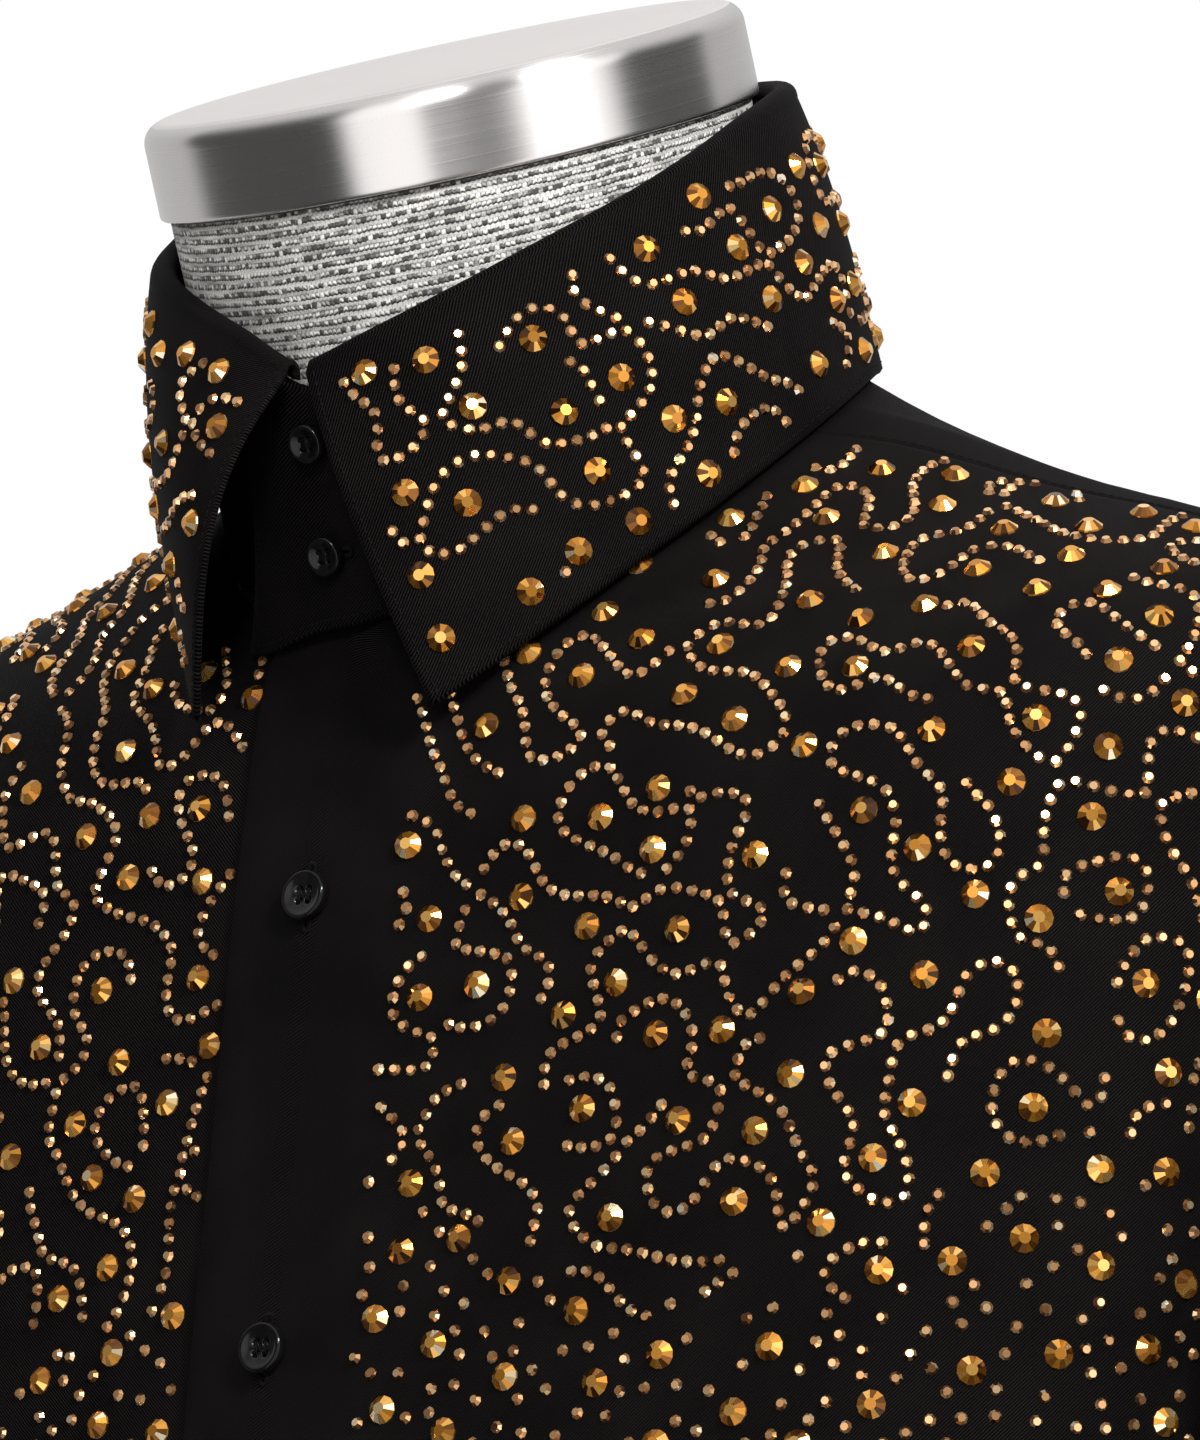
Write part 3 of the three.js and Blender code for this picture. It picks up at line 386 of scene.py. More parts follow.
def lathePiece(name, profile, segments, place=None, soft=True):
    # profile rows of radius and height, from the axis round to the axis again, carried round +Z
    profile = np.asarray(profile, float)
    turns = np.linspace(0, 2 * np.pi, segments, endpoint=False)
    ring = np.stack([profile[1:-1, None, 0] * np.cos(turns), profile[1:-1, None, 0] * np.sin(turns),
                     np.broadcast_to(profile[1:-1, None, 1], (len(profile) - 2, segments))], -1)
    points = np.concatenate([ring.reshape(-1, 3), [[0, 0, profile[0, 1]], [0, 0, profile[-1, 1]]]])
    lengths = np.concatenate([[0], np.cumsum(np.linalg.norm(np.diff(profile, axis=0), axis=-1))])
    n = len(ring)
    r, c = np.meshgrid(np.arange(n - 1), np.arange(segments), indexing="ij")
    r, c = r.ravel(), c.ravel()
    d = (c + 1) % segments
    quads = np.stack([r * segments + c, r * segments + d, (r + 1) * segments + d, (r + 1) * segments + c], -1)
    width = 2 * np.pi * profile[:, 0].max()
    uvQuads = np.stack([np.stack([x / segments * width, lengths[y + 1]], -1) for x, y in ((c, r), (c + 1, r), (c + 1, r + 1), (c, r + 1))], 1)
    k = np.arange(segments)
    low, high = n * segments, n * segments + 1
    caps = np.concatenate([np.stack([(k + 1) % segments, k, np.full(segments, low)], -1),
                           np.stack([(n - 1) * segments + k, (n - 1) * segments + (k + 1) % segments, np.full(segments, high)], -1)])
    uvCaps = np.stack([points[caps][..., 0], points[caps][..., 1]], -1)
    if place is not None:
        points = place(points)
    corners = np.concatenate([quads.ravel(), caps.ravel()])
    sizes = np.concatenate([np.full(len(quads), 4), np.full(len(caps), 3)])
    return makeMesh(name, points, corners, sizes, np.concatenate([uvQuads.reshape(-1, 2), uvCaps.reshape(-1, 2)]), soft=soft)


def copies(name, template, triangles, centres, frames, tone=None, soft=False, flat=None):
    # one joined mesh of many small things; frames has each one's three axes as rows
    points = np.einsum("vk,nkj->nvj", template, frames) + centres[:, None]
    corners = triangles[None] + (np.arange(len(centres)) * len(template))[:, None, None]
    uv = None if flat is None else np.broadcast_to(flat[triangles][None], (len(centres),) + triangles.shape + (2,))
    return makeMesh(name, points.reshape(-1, 3), corners.ravel(), np.full(len(centres) * len(triangles), 3),
                    None if uv is None else uv.reshape(-1, 2), tone, soft)


print("helpers ready")


# ---------------------------------------------------------------- cloth of the body
def bodyPanel(name, domain, s, t, lift=None, mirror=False):
    place = domain(s, t)
    angle, level = place[..., 0], place[..., 1]
    raised = clothSizes["wall"] + (0 if lift is None else lift(angle, level))
    edge = np.minimum(np.minimum(np.arange(len(s)), np.arange(len(s))[::-1])[None],
                      np.minimum(np.arange(len(t)), np.arange(len(t))[::-1])[:, None])
    tucked = 0.16 * (edge == 0)
    face = bodyCloth(angle, level, raised - tucked)
    behind = bodyCloth(angle, level, raised - clothSizes["shell"] + tucked)
    flat = bodyFlat(angle, level)
    return clothPiece(name, face, behind, flat, mirror=mirror), face, place, flat


frontCrease = {"at": 24, "width": 4.5, "height": 1.0, "beside": 36, "besideWidth": 8, "depth": 1.2, "from": 735, "to": 905}


def frontLift(angle, level):  # over the right front, with a soft ridge and trough below the collar's tip
    point, crease = bodyPoint(angle, level), frontCrease
    x, z = point[..., 0], point[..., 2]
    along = smooth(crease["from"], crease["from"] + 60, z) * (1 - smooth(crease["to"] - 30, crease["to"], z))
    ridge = crease["height"] * bell((x - crease["at"]) / crease["width"]) - crease["depth"] * bell((x - crease["beside"]) / crease["besideWidth"])
    return clothSizes["frontLift"] * (1 - smooth(clothSizes["frontEdge"] + 4, clothSizes["liftFadesAt"], x)) + along * ridge


frontAcross = np.concatenate([np.linspace(0, overlapShare, 15), np.linspace(overlapShare, 1, 76)[1:]])
frontUp = np.linspace(0, 1, 161)
panels = {}
panels["front_left"] = bodyPanel("front_left_cloth", frontDomain, frontAcross, frontUp, frontLift)
panels["front_right"] = bodyPanel("front_right_cloth", frontDomain, frontAcross, frontUp, mirror=True)
panels["back"] = bodyPanel("back_cloth", backDomain, np.linspace(0, 1, 141), np.linspace(0, 1, 91))
panels["yoke"] = bodyPanel("yoke_cloth", yokeDomain, np.linspace(0, 1, 169), np.linspace(0, 1, 33))
print("body panels done")

# ---------------------------------------------------------------- collar
collarRings = {
    "standBase": {"side": 69.2, "sideY": -4, "sideZ": 980, "frontY": -67.4, "frontZ": 926.5, "backY": 49.6, "backZ": 1002.5,
                  "slopeFront": 1, "slopeBack": 1, "squareness": 1.95},
    "crest": {"side": 73.5, "sideY": -26, "sideZ": 0, "frontY": -90, "frontZ": 0, "backY": 38.5, "backZ": 0,
              "slopeFront": 1, "slopeBack": 1, "squareness": 2},
}
crestHeights = {"z": [982, 988.5, 997, 1007, 1017.5, 1029, 1040.5, 1049.5, 1056, 1061, 1064.5, 1066.5, 1067,
                      1066.5, 1064.5, 1061, 1056, 1049.5, 1040.5, 1029, 1020, 1012, 1003, 993, 982]}
leafEdge = {
    "x": [33, 48.5, 65, 79, 85, 79, 62.5, 35, 0, -35, -62.5, -79, -82.5, -73, -60.5, -45.5, -30.5],
    "y": [-86, -76.5, -59.5, -39, -11, 19, 43, 58, 62.5, 58, 43, 19, -9, -34.5, -53.5, -70.5, -86],
    "z": [904, 916.5, 934, 953, 973.5, 990, 996.5, 999.5, 1000.5, 999.5, 996.5, 990, 976.5, 957, 938.5, 921, 907],
}
leafShape = {"frontAngle": 2.5, "bulgeLeft": 4, "bulgeRight": 8, "bulgeBack": 1.5, "sweep": 10, "sweepPeak": 0.22, "foldShare": 0.14}
standOverlap = np.radians(19.5)


def crestPoint(angle):
    p = ringPoint(collarRings["crest"], angle)
    p[..., 2] = rowsAt(crestHeights, np.degrees(np.mod(angle, 2 * np.pi)) / 15)["z"]
    return p


def crestOutward(angle):
    return np.stack([np.sin(angle), -np.cos(angle), np.zeros(np.shape(angle))], -1)


def standRing(angle, share):  # from the neck seam straight up to just inside the crest
    top = crestPoint(angle) - crestOutward(angle) * (clothSizes["foldRadius"] + clothSizes["standWall"] / 2)
    top[..., 2] -= clothSizes["foldRadius"] + 1.2
    return mix(ringPoint(collarRings["standBase"], angle), top, np.asarray(share)[..., None])


def standCloth(angle, share, out):
    return standRing(angle, share) + normalOf(standRing, angle, share, 0.02, 0.01) * np.asarray(out)[..., None]


def standLift(angle, share):  # its left end lies over its right end and over the fronts
    overlapping = (clothSizes["standWall"] + 0.35 + 0.15) * (1 - smooth(0.15, np.radians(60), angle))
    return overlapping + 7 * (1 - smooth(0, 0.25, angle)) * (1 - share) ** 3


def standGrid(s, t):
    end = standOverlap - np.radians(2) * t[:, None]
    place = s[None] * 34
    angle = np.where(place < 2, mix(-end, 0, np.clip(place / 2, 0, 1)),
                     np.where(place < 32, 2 * np.pi * (place - 2) / 30, 2 * np.pi + end * (place - 32) / 2))
    droop = 0.11 * (1 - smooth(-standOverlap, 0, angle))
    share = mix(0.05 - droop, 0.985, t[:, None])
    return angle, share


standAngle, standShare = standGrid(np.linspace(0, 1, 239), np.linspace(0, 1, 25))
standFace = standCloth(standAngle, standShare, standLift(standAngle, standShare) + clothSizes["standWall"])
standBehind = standCloth(standAngle, standShare, standLift(standAngle, standShare) + 0.1)
standFlat = np.stack([standAngle * 68, standShare * 55], -1)
stand = clothPiece("collar_stand_cloth", standFace, standBehind, standFlat)


def leafMiddle(s, t):  # half a turn over the crest, then down to the leaf's own edge with a slight bulge
    s, t = np.broadcast_arrays(np.asarray(s, float), np.asarray(t, float))
    angle = mix(np.radians(leafShape["frontAngle"]), np.radians(360 - leafShape["frontAngle"]), s)
    outward, crest, radius = crestOutward(angle), crestPoint(angle), clothSizes["foldRadius"]

    def turnOver(p):
        p = np.broadcast_to(p, s.shape)
        point = crest - outward * (radius * np.cos(p))[..., None]
        point[..., 2] -= radius * (1 - np.sin(p)) + 0.6 * np.abs(np.cos(p)) ** 8
        return point
    folded = turnOver(np.pi * np.clip(t / leafShape["foldShare"], 0, 1))
    down = np.clip((t - leafShape["foldShare"]) / (1 - leafShape["foldShare"]), 0, 1)
    row = rowsAt(leafEdge, s * 16)
    atFront = bell(np.minimum(s, 1 - s) / 0.12)
    bulge = mix(leafShape["bulgeBack"], np.where(s < 0.5, leafShape["bulgeLeft"], leafShape["bulgeRight"]), atFront)
    bulge = bulge * 4 * down * (1 - down) * mix(1.3, 0.7, down)
    pull = down / leafShape["sweepPeak"]
    sweep = leafShape["sweep"] * bell((1 - s) / 0.07) * pull * np.exp(1 - pull)
    edge = np.stack([row["x"] - sweep, row["y"], row["z"]], -1)
    hanging = mix(turnOver(np.pi), edge, down[..., None]) + outward * bulge[..., None]
    return np.where((t <= leafShape["foldShare"])[..., None], folded, hanging)


def leafNormal(s, t):
    return normalOf(leafMiddle, np.clip(s, 0.004, 0.996), np.clip(t, 0.004, 0.996), 0.003, 0.003)


leafS = np.linspace(0, 1, 261)[None]
leafT = np.concatenate([np.linspace(0, leafShape["foldShare"], 13), np.linspace(leafShape["foldShare"], 1, 50)[1:]])[:, None]
leafGridS, leafGridT = np.broadcast_arrays(leafS, leafT)
leafMid, leafNrm = leafMiddle(leafGridS, leafGridT), leafNormal(leafGridS, leafGridT)
halfLeaf = clothSizes["standWall"] / 2
leafOuter = leafMid - leafNrm * halfLeaf
leafAround = np.cumsum(np.linalg.norm(np.diff(leafOuter, axis=1, prepend=leafOuter[:, :1]), axis=-1), axis=1)
leafDown = np.cumsum(np.linalg.norm(np.diff(leafOuter, axis=0, prepend=leafOuter[:1]), axis=-1), axis=0)
leafFlat = np.stack([leafAround - leafAround[:, 130:131], -leafDown], -1)
leaf = clothPiece("collar_leaf_cloth", leafMid + leafNrm * halfLeaf, leafOuter, leafFlat)
print("collar done")

# ---------------------------------------------------------------- sleeves, plackets and cuffs
sleeveRows = {
    "z": [700, 610, 520, 430, 368, 342, 334.5], "x": [239, 241, 242, 241, 239, 238, 238], "y": [10, 9, 5, -2, -8, -10, -10.5],
    "halfX": [30, 29, 29, 28, 29, 28, 26], "halfY": [80, 74, 68, 62, 58, 53, 49],
}
sleeveFolds = {
    "z": [820, 745, 690, 632, 585, 548, 505, 440, 390], "turn": [40, 150, 60, 230, 20, 180, 300, 90, 200],
    "width": [26, 22, 20, 22, 18, 18, 20, 22, 16], "depth": [4, -4, -4, 5, -5, 5, -5, 4, 5],
}
sleeveShape = {"reachOut": 62, "reachUnder": 16, "hangShare": 0.3}
cuffShape = {"top": 333.8, "bottom": 266, "x": 238, "y": -10.5, "halfX": 26, "halfY": 49, "flare": 1.5, "overlapLift": 2.1,
             "start": -75, "overlap": 24}
sleevePlacket = {"bottom": 352, "top": 478, "turn": 75, "halfTurn": 9}


def sleeveRing(z, turn):
    place = np.interp(-np.asarray(z, float), -np.array(sleeveRows["z"]), np.arange(7))
    row = rowsAt(sleeveRows, place)
    return np.stack(np.broadcast_arrays(row["x"] + row["halfX"] * np.cos(turn), row["y"] - row["halfY"] * np.sin(turn), z), -1)


def sleeveMiddle(turn, share):  # a Hermite curve from the armhole over the shoulder's end, then straight down
    turn, share = np.broadcast_arrays(np.asarray(turn, float), np.asarray(share, float))
    hang = sleeveShape["hangShare"]
    lower = sleeveRing(mix(700, 334.5, np.clip((share - hang) / (1 - hang), 0, 1)), turn)
    t = np.clip(share / hang, 0, 1)[..., None]
    place = armholeAt(turn, -0.012)
    start = bodyCloth(place[..., 0], place[..., 1], clothSizes["wall"] / 2)
    end = sleeveRing(np.full(turn.shape, 700.0), turn)
    above = 0.5 + 0.5 * np.cos(turn)
    outward = unit(np.stack([np.ones(turn.shape), np.zeros(turn.shape), mix(-0.9, -0.36, above)], -1))
    centre = bodyPoint(np.pi / 2, armhole["level"])
    spread = (start - centre) * [0, 1, 1]
    outward = unit(outward + unit(spread) * 0.12)
    startPull = (mix(sleeveShape["reachUnder"], sleeveShape["reachOut"], above ** 1.3) * 2.2)[..., None]
    endPull = mix(30, 190, above)[..., None] * np.array([0, 0, -1])
    upper = start * (2 * t**3 - 3 * t**2 + 1) + outward * (t**3 - 2 * t**2 + t) * startPull + end * (3 * t**2 - 2 * t**3) + endPull * (t**3 - t**2)
    return np.where((share > hang)[..., None], lower, upper)


def sleeveCloth(turn, share, out):
    turn, share = np.broadcast_arrays(np.asarray(turn, float), np.asarray(share, float))
    normal = normalOf(sleeveMiddle, turn, np.clip(share, 0.012, 0.99), 0.02, 0.01)
    middle = sleeveMiddle(turn, share)
    around = np.abs(np.mod(np.degrees(turn)[..., None] - np.array(sleeveFolds["turn"]) + 180, 360) - 180)
    height = middle[..., 2:] - np.array(sleeveFolds["z"]) - 0.35 * around
    fold = (np.array(sleeveFolds["depth"]) * bell(height / np.array(sleeveFolds["width"])) * bell(around / 75)).sum(-1)
    nearEnd = smooth(0, 0.12, share) * (1 - smooth(0.93, 1, share))
    return middle + normal * (out + fold * nearEnd)[..., None]


def cuffPoint(turn, t):
    grow = cuffShape["flare"] * t
    return np.stack(np.broadcast_arrays(cuffShape["x"] + (cuffShape["halfX"] + grow) * np.cos(turn),
                                        cuffShape["y"] - (cuffShape["halfY"] + grow) * np.sin(turn),
                                        mix(cuffShape["top"], cuffShape["bottom"], t)), -1)


def cuffCloth(turn, t, out):
    return cuffPoint(turn, t) + normalOf(cuffPoint, turn, t, 0.01, 0.01) * np.asarray(out)[..., None]


turns, shares = np.meshgrid(np.linspace(0, 2 * np.pi, 97)[:-1], np.linspace(0, 1, 111))
sleeveOuter, sleeveInner = sleeveCloth(turns, shares, 0.6), sleeveCloth(turns, shares, -0.1)
sleeveAlong = np.cumsum(np.linalg.norm(np.diff(sleeveOuter, axis=0, prepend=sleeveOuter[:1]), axis=-1), axis=0)
sleeveFlat = np.stack([np.broadcast_to(np.linspace(0, 2 * np.pi, 97) * 58, (111, 97)),
                       -np.concatenate([sleeveAlong, sleeveAlong[:, :1]], 1)], -1)
bandS, bandT = np.meshgrid(np.linspace(0, 1, 121), np.linspace(0, 1, 15))
bandTurn = np.radians(cuffShape["start"]) + mix(-np.radians(cuffShape["overlap"] / 2), 2 * np.pi + np.radians(cuffShape["overlap"] / 2), bandS)
bandLift = cuffShape["overlapLift"] * (1 - smooth(0.02, 0.22, bandS))
cuffFace, cuffBehind = cuffCloth(bandTurn, bandT, bandLift + 0.8), cuffCloth(bandTurn, bandT, bandLift - 0.7)
cuffFlat = np.stack([bandS * 270, bandT * -68], -1)
stripS, stripZ = np.meshgrid(np.linspace(-1, 1, 13), np.linspace(sleevePlacket["top"], sleevePlacket["bottom"], 61))
stripShare = 0.3 + 0.7 * (700 - stripZ) / (700 - 334.5)
stripTurn = np.radians(-sleevePlacket["turn"] + stripS * sleevePlacket["halfTurn"])
stripFace, stripBehind = sleeveCloth(stripTurn, stripShare, 2.3), sleeveCloth(stripTurn, stripShare, 1.25)
stripFlat = np.stack([stripS * 11, stripZ], -1)
sleeves = {}
for side in ("left", "right"):
    other = side == "right"
    sleeves["sleeve_" + side] = clothPiece("sleeve_" + side + "_cloth", sleeveOuter, sleeveInner, sleeveFlat, closed=True, mirror=other)
    sleeves["cuff_" + side] = clothPiece("cuff_" + side + "_cloth", cuffFace, cuffBehind, cuffFlat, mirror=other)
    sleeves["sleeve_placket_" + side] = clothPiece("sleeve_placket_" + side + "_cloth", stripFace, stripBehind, stripFlat, mirror=other)
print("sleeves done")

# ---------------------------------------------------------------- materials
def link(tree, value, socket):  # a value or an output socket into an input socket
    if isinstance(value, bpy.types.NodeSocket):
        tree.links.new(value, socket)
    else:
        socket.default_value = value


def node(tree, kind, inputs=None, **settings):
    made = tree.nodes.new("ShaderNode" + kind)
    for key, value in settings.items():
        setattr(made, key, value)
    for key, value in (inputs or {}).items():
        link(tree, value, made.inputs[key])
    return made


def math(tree, operation, a, b=0.0, c=0.0):
    return node(tree, "Math", {0: a, 1: b, 2: c}, operation=operation).outputs[0]


def ramp(tree, value, stops, smoothly=False):  # stops are position and grey or colour
    made = node(tree, "ValToRGB", {"Fac": value})
    made.color_ramp.interpolation = "EASE" if smoothly else "LINEAR"
    elements = made.color_ramp.elements
    while len(elements) < len(stops):
        elements.new(0.5)
    for element, (position, colour) in zip(elements, stops):
        element.position = position
        element.color = (*colour, 1) if hasattr(colour, "__len__") else (colour, colour, colour, 1)
    return made.outputs["Color"]


def mixColour(tree, share, a, b, mode="MIX"):
    made = node(tree, "Mix", data_type="RGBA", blend_type=mode)
    link(tree, share, made.inputs[0])
    for value, socket in ((a, made.inputs[6]), (b, made.inputs[7])):
        link(tree, (*value, 1) if isinstance(value, tuple) else value, socket)
    return made.outputs[2]


def newMaterial(name):
    material = bpy.data.materials.new(name)
    material.use_nodes = True
    tree = material.node_tree
    tree.nodes.clear()
    shader = node(tree, "BsdfPrincipled")
    tree.links.new(shader.outputs[0], node(tree, "OutputMaterial").inputs[0])
    return material, tree, shader


def flatPlace(tree):  # the cloth's own flat coordinates, in metres
    at = node(tree, "Separate" + "XYZ", {0: node(tree, "UVMap", uv_map="flat").outputs[0]})
    return at.outputs[0], at.outputs[1]


twillLook = {"pitch": 0.0006, "yarn": 0.00026, "dark": (0.0001, 0.0001, 0.0001), "light": (0.0142, 0.0116, 0.0114), "depth": 0.00009}


def twillMaterial(name, look):  # fine diagonal wales: a sine across the diagonal, broken up by the yarns along it
    material, tree, shader = newMaterial(name)
    u, v = flatPlace(tree)
    place = node(tree, "CombineXYZ", {0: u, 1: v}).outputs[0]
    wander = node(tree, "TexNoise", {"Vector": place, "Scale": 380.0, "Detail": 2.0}).outputs["Fac"]
    across = math(tree, "ADD", math(tree, "SUBTRACT", v, u), math(tree, "MULTIPLY", wander, look["pitch"] * 0.35))
    wale = math(tree, "SINE", math(tree, "MULTIPLY", across, 2 * np.pi / (look["pitch"] * 1.414)))
    yarn = math(tree, "SINE", math(tree, "MULTIPLY", math(tree, "ADD", u, v), 2 * np.pi / (look["yarn"] * 1.414)))
    height = math(tree, "MULTIPLY_ADD", math(tree, "MULTIPLY_ADD", yarn, 0.35, wale), 0.37, 0.5)
    cloudy = node(tree, "TexNoise", {"Vector": place, "Scale": 34.0, "Detail": 4.0, "Roughness": 0.6}).outputs["Fac"]
    lint = node(tree, "TexNoise", {"Vector": place, "Scale": 2600.0, "Detail": 1.0}).outputs["Fac"]
    # painted light and shade: the base colour follows the wales' height, lighter on the crests and near black in the
    # troughs; the cloudy and lint noise add random tone
    shade = math(tree, "MULTIPLY_ADD", height, 0.62, math(tree, "MULTIPLY_ADD", cloudy, 0.3, math(tree, "MULTIPLY", lint, 0.42)))
    link(tree, ramp(tree, shade, [(0.66, look["dark"]), (1.0, look["light"])]), shader.inputs["Base Color"])
    link(tree, math(tree, "MULTIPLY_ADD", cloudy, 0.16, 0.6), shader.inputs["Roughness"])
    shader.inputs["Sheen Weight"].default_value = 0.012
    shader.inputs["Sheen Roughness"].default_value = 0.42
    shader.inputs["Sheen Tint"].default_value = (0.80, 0.76, 0.80, 1)
    shader.inputs["IOR"].default_value = 1.22
    shader.inputs["Specular IOR Level"].default_value = 0.10
    bump = node(tree, "Bump", {"Height": height, "Strength": 0.8, "Distance": look["depth"]})
    link(tree, bump.outputs[0], shader.inputs["Normal"])
    return material


def threadMaterial(name):
    material, tree, shader = newMaterial(name)
    at = node(tree, "TexCoord").outputs["Object"]
    twist = node(tree, "TexNoise", {"Vector": at, "Scale": 2400.0, "Detail": 2.0}).outputs["Fac"]
    link(tree, ramp(tree, twist, [(0.3, 0.0012), (0.75, 0.0065)]), shader.inputs["Base Color"])
    shader.inputs["Roughness"].default_value = 0.6
    shader.inputs["IOR"].default_value = 1.3
    shader.inputs["Specular IOR Level"].default_value = 0.12
    link(tree, node(tree, "Bump", {"Height": twist, "Strength": 0.4, "Distance": 0.0001}).outputs[0], shader.inputs["Normal"])
    return material


def buttonMaterial(name):
    material, tree, shader = newMaterial(name)
    at = node(tree, "TexCoord").outputs["Object"]
    swirl = node(tree, "TexNoise", {"Vector": at, "Scale": 260.0, "Detail": 3.0, "Distortion": 1.2}).outputs["Fac"]
    link(tree, ramp(tree, swirl, [(0.3, (0.0022, 0.0022, 0.0024)), (0.8, (0.006, 0.0056, 0.0058))]), shader.inputs["Base Color"])
    scuffs = node(tree, "TexNoise", {"Vector": at, "Scale": 900.0, "Detail": 5.0}).outputs["Fac"]
    link(tree, math(tree, "MULTIPLY_ADD", scuffs, 0.1, 0.06), shader.inputs["Roughness"])
    shader.inputs["Specular IOR Level"].default_value = 0.22
    shader.inputs["Coat Weight"].default_value = 0.1
    shader.inputs["Coat Roughness"].default_value = 0.03
    return material


def stoneMaterial(name, colours, roughness):  # foiled glass: each facet has its own tone
    material, tree, shader = newMaterial(name)
    # painted reflection: the facet tones stand in for the foil's inner reflections, from dark facets up to
    # highlight-bright ones
    tone = node(tree, "Attribute", attribute_name="tone").outputs["Fac"]
    link(tree, ramp(tree, tone, colours), shader.inputs["Base Color"])
    shader.inputs["Metallic"].default_value = 0.85
    shader.inputs["Roughness"].default_value = roughness
    shader.inputs["Coat Weight"].default_value = 0.25
    shader.inputs["Coat Roughness"].default_value = 0.03
    shader.inputs["Coat IOR"].default_value = 1.55
    return material


coverLook = {"row": 0.00187, "fleck": 0.00118}


def coverMaterial(name, look):  # melange weave: rows of light and dark flecks between paler continuous yarns
    material, tree, shader = newMaterial(name)
    u, v = flatPlace(tree)
    place = node(tree, "CombineXYZ", {0: u, 1: v}).outputs[0]
    wander = node(tree, "TexNoise", {"Vector": place, "Scale": 160.0, "Detail": 2.0}).outputs["Fac"]
    hump = lambda x: math(tree, "SINE", math(tree, "MULTIPLY", x, np.pi))
    scallop = math(tree, "COSINE", math(tree, "MULTIPLY", u, 2 * np.pi / look["fleck"]))
    rowPlace = math(tree, "DIVIDE", math(tree, "MULTIPLY_ADD", wander, 0.0009, v), look["row"])
    rowPlace = math(tree, "MULTIPLY_ADD", scallop, 0.05, rowPlace)
    rowNumber, inRow = math(tree, "FLOOR", rowPlace), math(tree, "FRACT", rowPlace)
    shift = node(tree, "TexWhiteNoise", {"W": rowNumber}, noise_dimensions="1D").outputs["Value"]
    along = math(tree, "MULTIPLY_ADD", shift, 3.0, math(tree, "DIVIDE", u, look["fleck"]))
    along = math(tree, "MULTIPLY_ADD", wander, 0.9, along)
    inFleck = math(tree, "FRACT", along)
    cell = node(tree, "CombineXYZ", {0: math(tree, "FLOOR", along), 1: rowNumber}).outputs[0]
    dye = node(tree, "TexWhiteNoise", {"Vector": cell}, noise_dimensions="2D").outputs["Value"]
    stretched = node(tree, "CombineXYZ", {0: math(tree, "MULTIPLY", u, 70.0), 1: math(tree, "MULTIPLY", v, 900.0)}).outputs[0]
    slub = node(tree, "TexNoise", {"Vector": stretched, "Scale": 1.0, "Detail": 2.0}).outputs["Fac"]
    fibres = node(tree, "TexNoise", {"Vector": place, "Scale": 3200.0, "Detail": 3.0, "Roughness": 0.7}).outputs["Fac"]
    isFleck = math(tree, "SUBTRACT", 1.0, node(tree, "MapRange", {"Value": math(tree, "MULTIPLY_ADD", slub, 0.6, inRow), 1: 0.86, 2: 0.94}).outputs[0])
    rounded = math(tree, "MULTIPLY", hump(inFleck), hump(math(tree, "MULTIPLY", inRow, 1.65)))
    shade = math(tree, "MULTIPLY_ADD", dye, 0.5, math(tree, "MULTIPLY_ADD", fibres, 0.35, math(tree, "MULTIPLY", slub, 0.5)))
    fleck = ramp(tree, shade, [(0.46, (0.05, 0.047, 0.046)), (0.57, (0.16, 0.154, 0.147)), (0.70, (0.43, 0.415, 0.395)), (0.88, (0.68, 0.66, 0.63))])
    # painted shade: the gaps between the rounded flecks are darkened towards near black
    gapShade = node(tree, "MapRange", {"Value": rounded, 1: 0.08, 2: 0.48, 3: 0.75, 4: 0.0}).outputs[0]
    fleck = mixColour(tree, gapShade, fleck, (0.05, 0.048, 0.045))
    # painted shadow: a thin dark dash along the low edge of most flecks, under each row
    chosen = math(tree, "GREATER_THAN", math(tree, "FRACT", math(tree, "MULTIPLY", dye, 7.0)), 0.18)
    lowEdge = node(tree, "MapRange", {"Value": inRow, 1: 0.16, 2: 0.34, 3: 1.0, 4: 0.0}).outputs[0]
    underShadow = math(tree, "MULTIPLY", math(tree, "MULTIPLY", chosen, lowEdge), node(tree, "MapRange", {"Value": hump(inFleck), 1: 0.1, 2: 0.4}).outputs[0])
    fleck = mixColour(tree, math(tree, "MULTIPLY", underShadow, 0.95), fleck, (0.015, 0.014, 0.014))
    paler = ramp(tree, math(tree, "MULTIPLY_ADD", fibres, 0.6, math(tree, "MULTIPLY", slub, 0.7)),
                 [(0.42, (0.11, 0.106, 0.101)), (0.62, (0.38, 0.366, 0.347)), (0.82, (0.66, 0.64, 0.605))])
    crossing = node(tree, "MapRange", {"Value": hump(math(tree, "FRACT", math(tree, "ADD", along, 0.5))), 1: 0.1, 2: 0.6, 3: 0.3, 4: 0.0}).outputs[0]
    paler = mixColour(tree, crossing, paler, (0.05, 0.048, 0.045))
    link(tree, mixColour(tree, isFleck, paler, fleck), shader.inputs["Base Color"])
    shader.inputs["Roughness"].default_value = 0.85
    shader.inputs["Sheen Weight"].default_value = 0.1
    shader.inputs["Specular IOR Level"].default_value = 0.25
    height = math(tree, "MULTIPLY_ADD", math(tree, "MULTIPLY", rounded, isFleck), 0.8, math(tree, "MULTIPLY", fibres, 0.25))
    link(tree, node(tree, "Bump", {"Height": height, "Strength": 0.7, "Distance": 0.00022}).outputs[0], shader.inputs["Normal"])
    return material


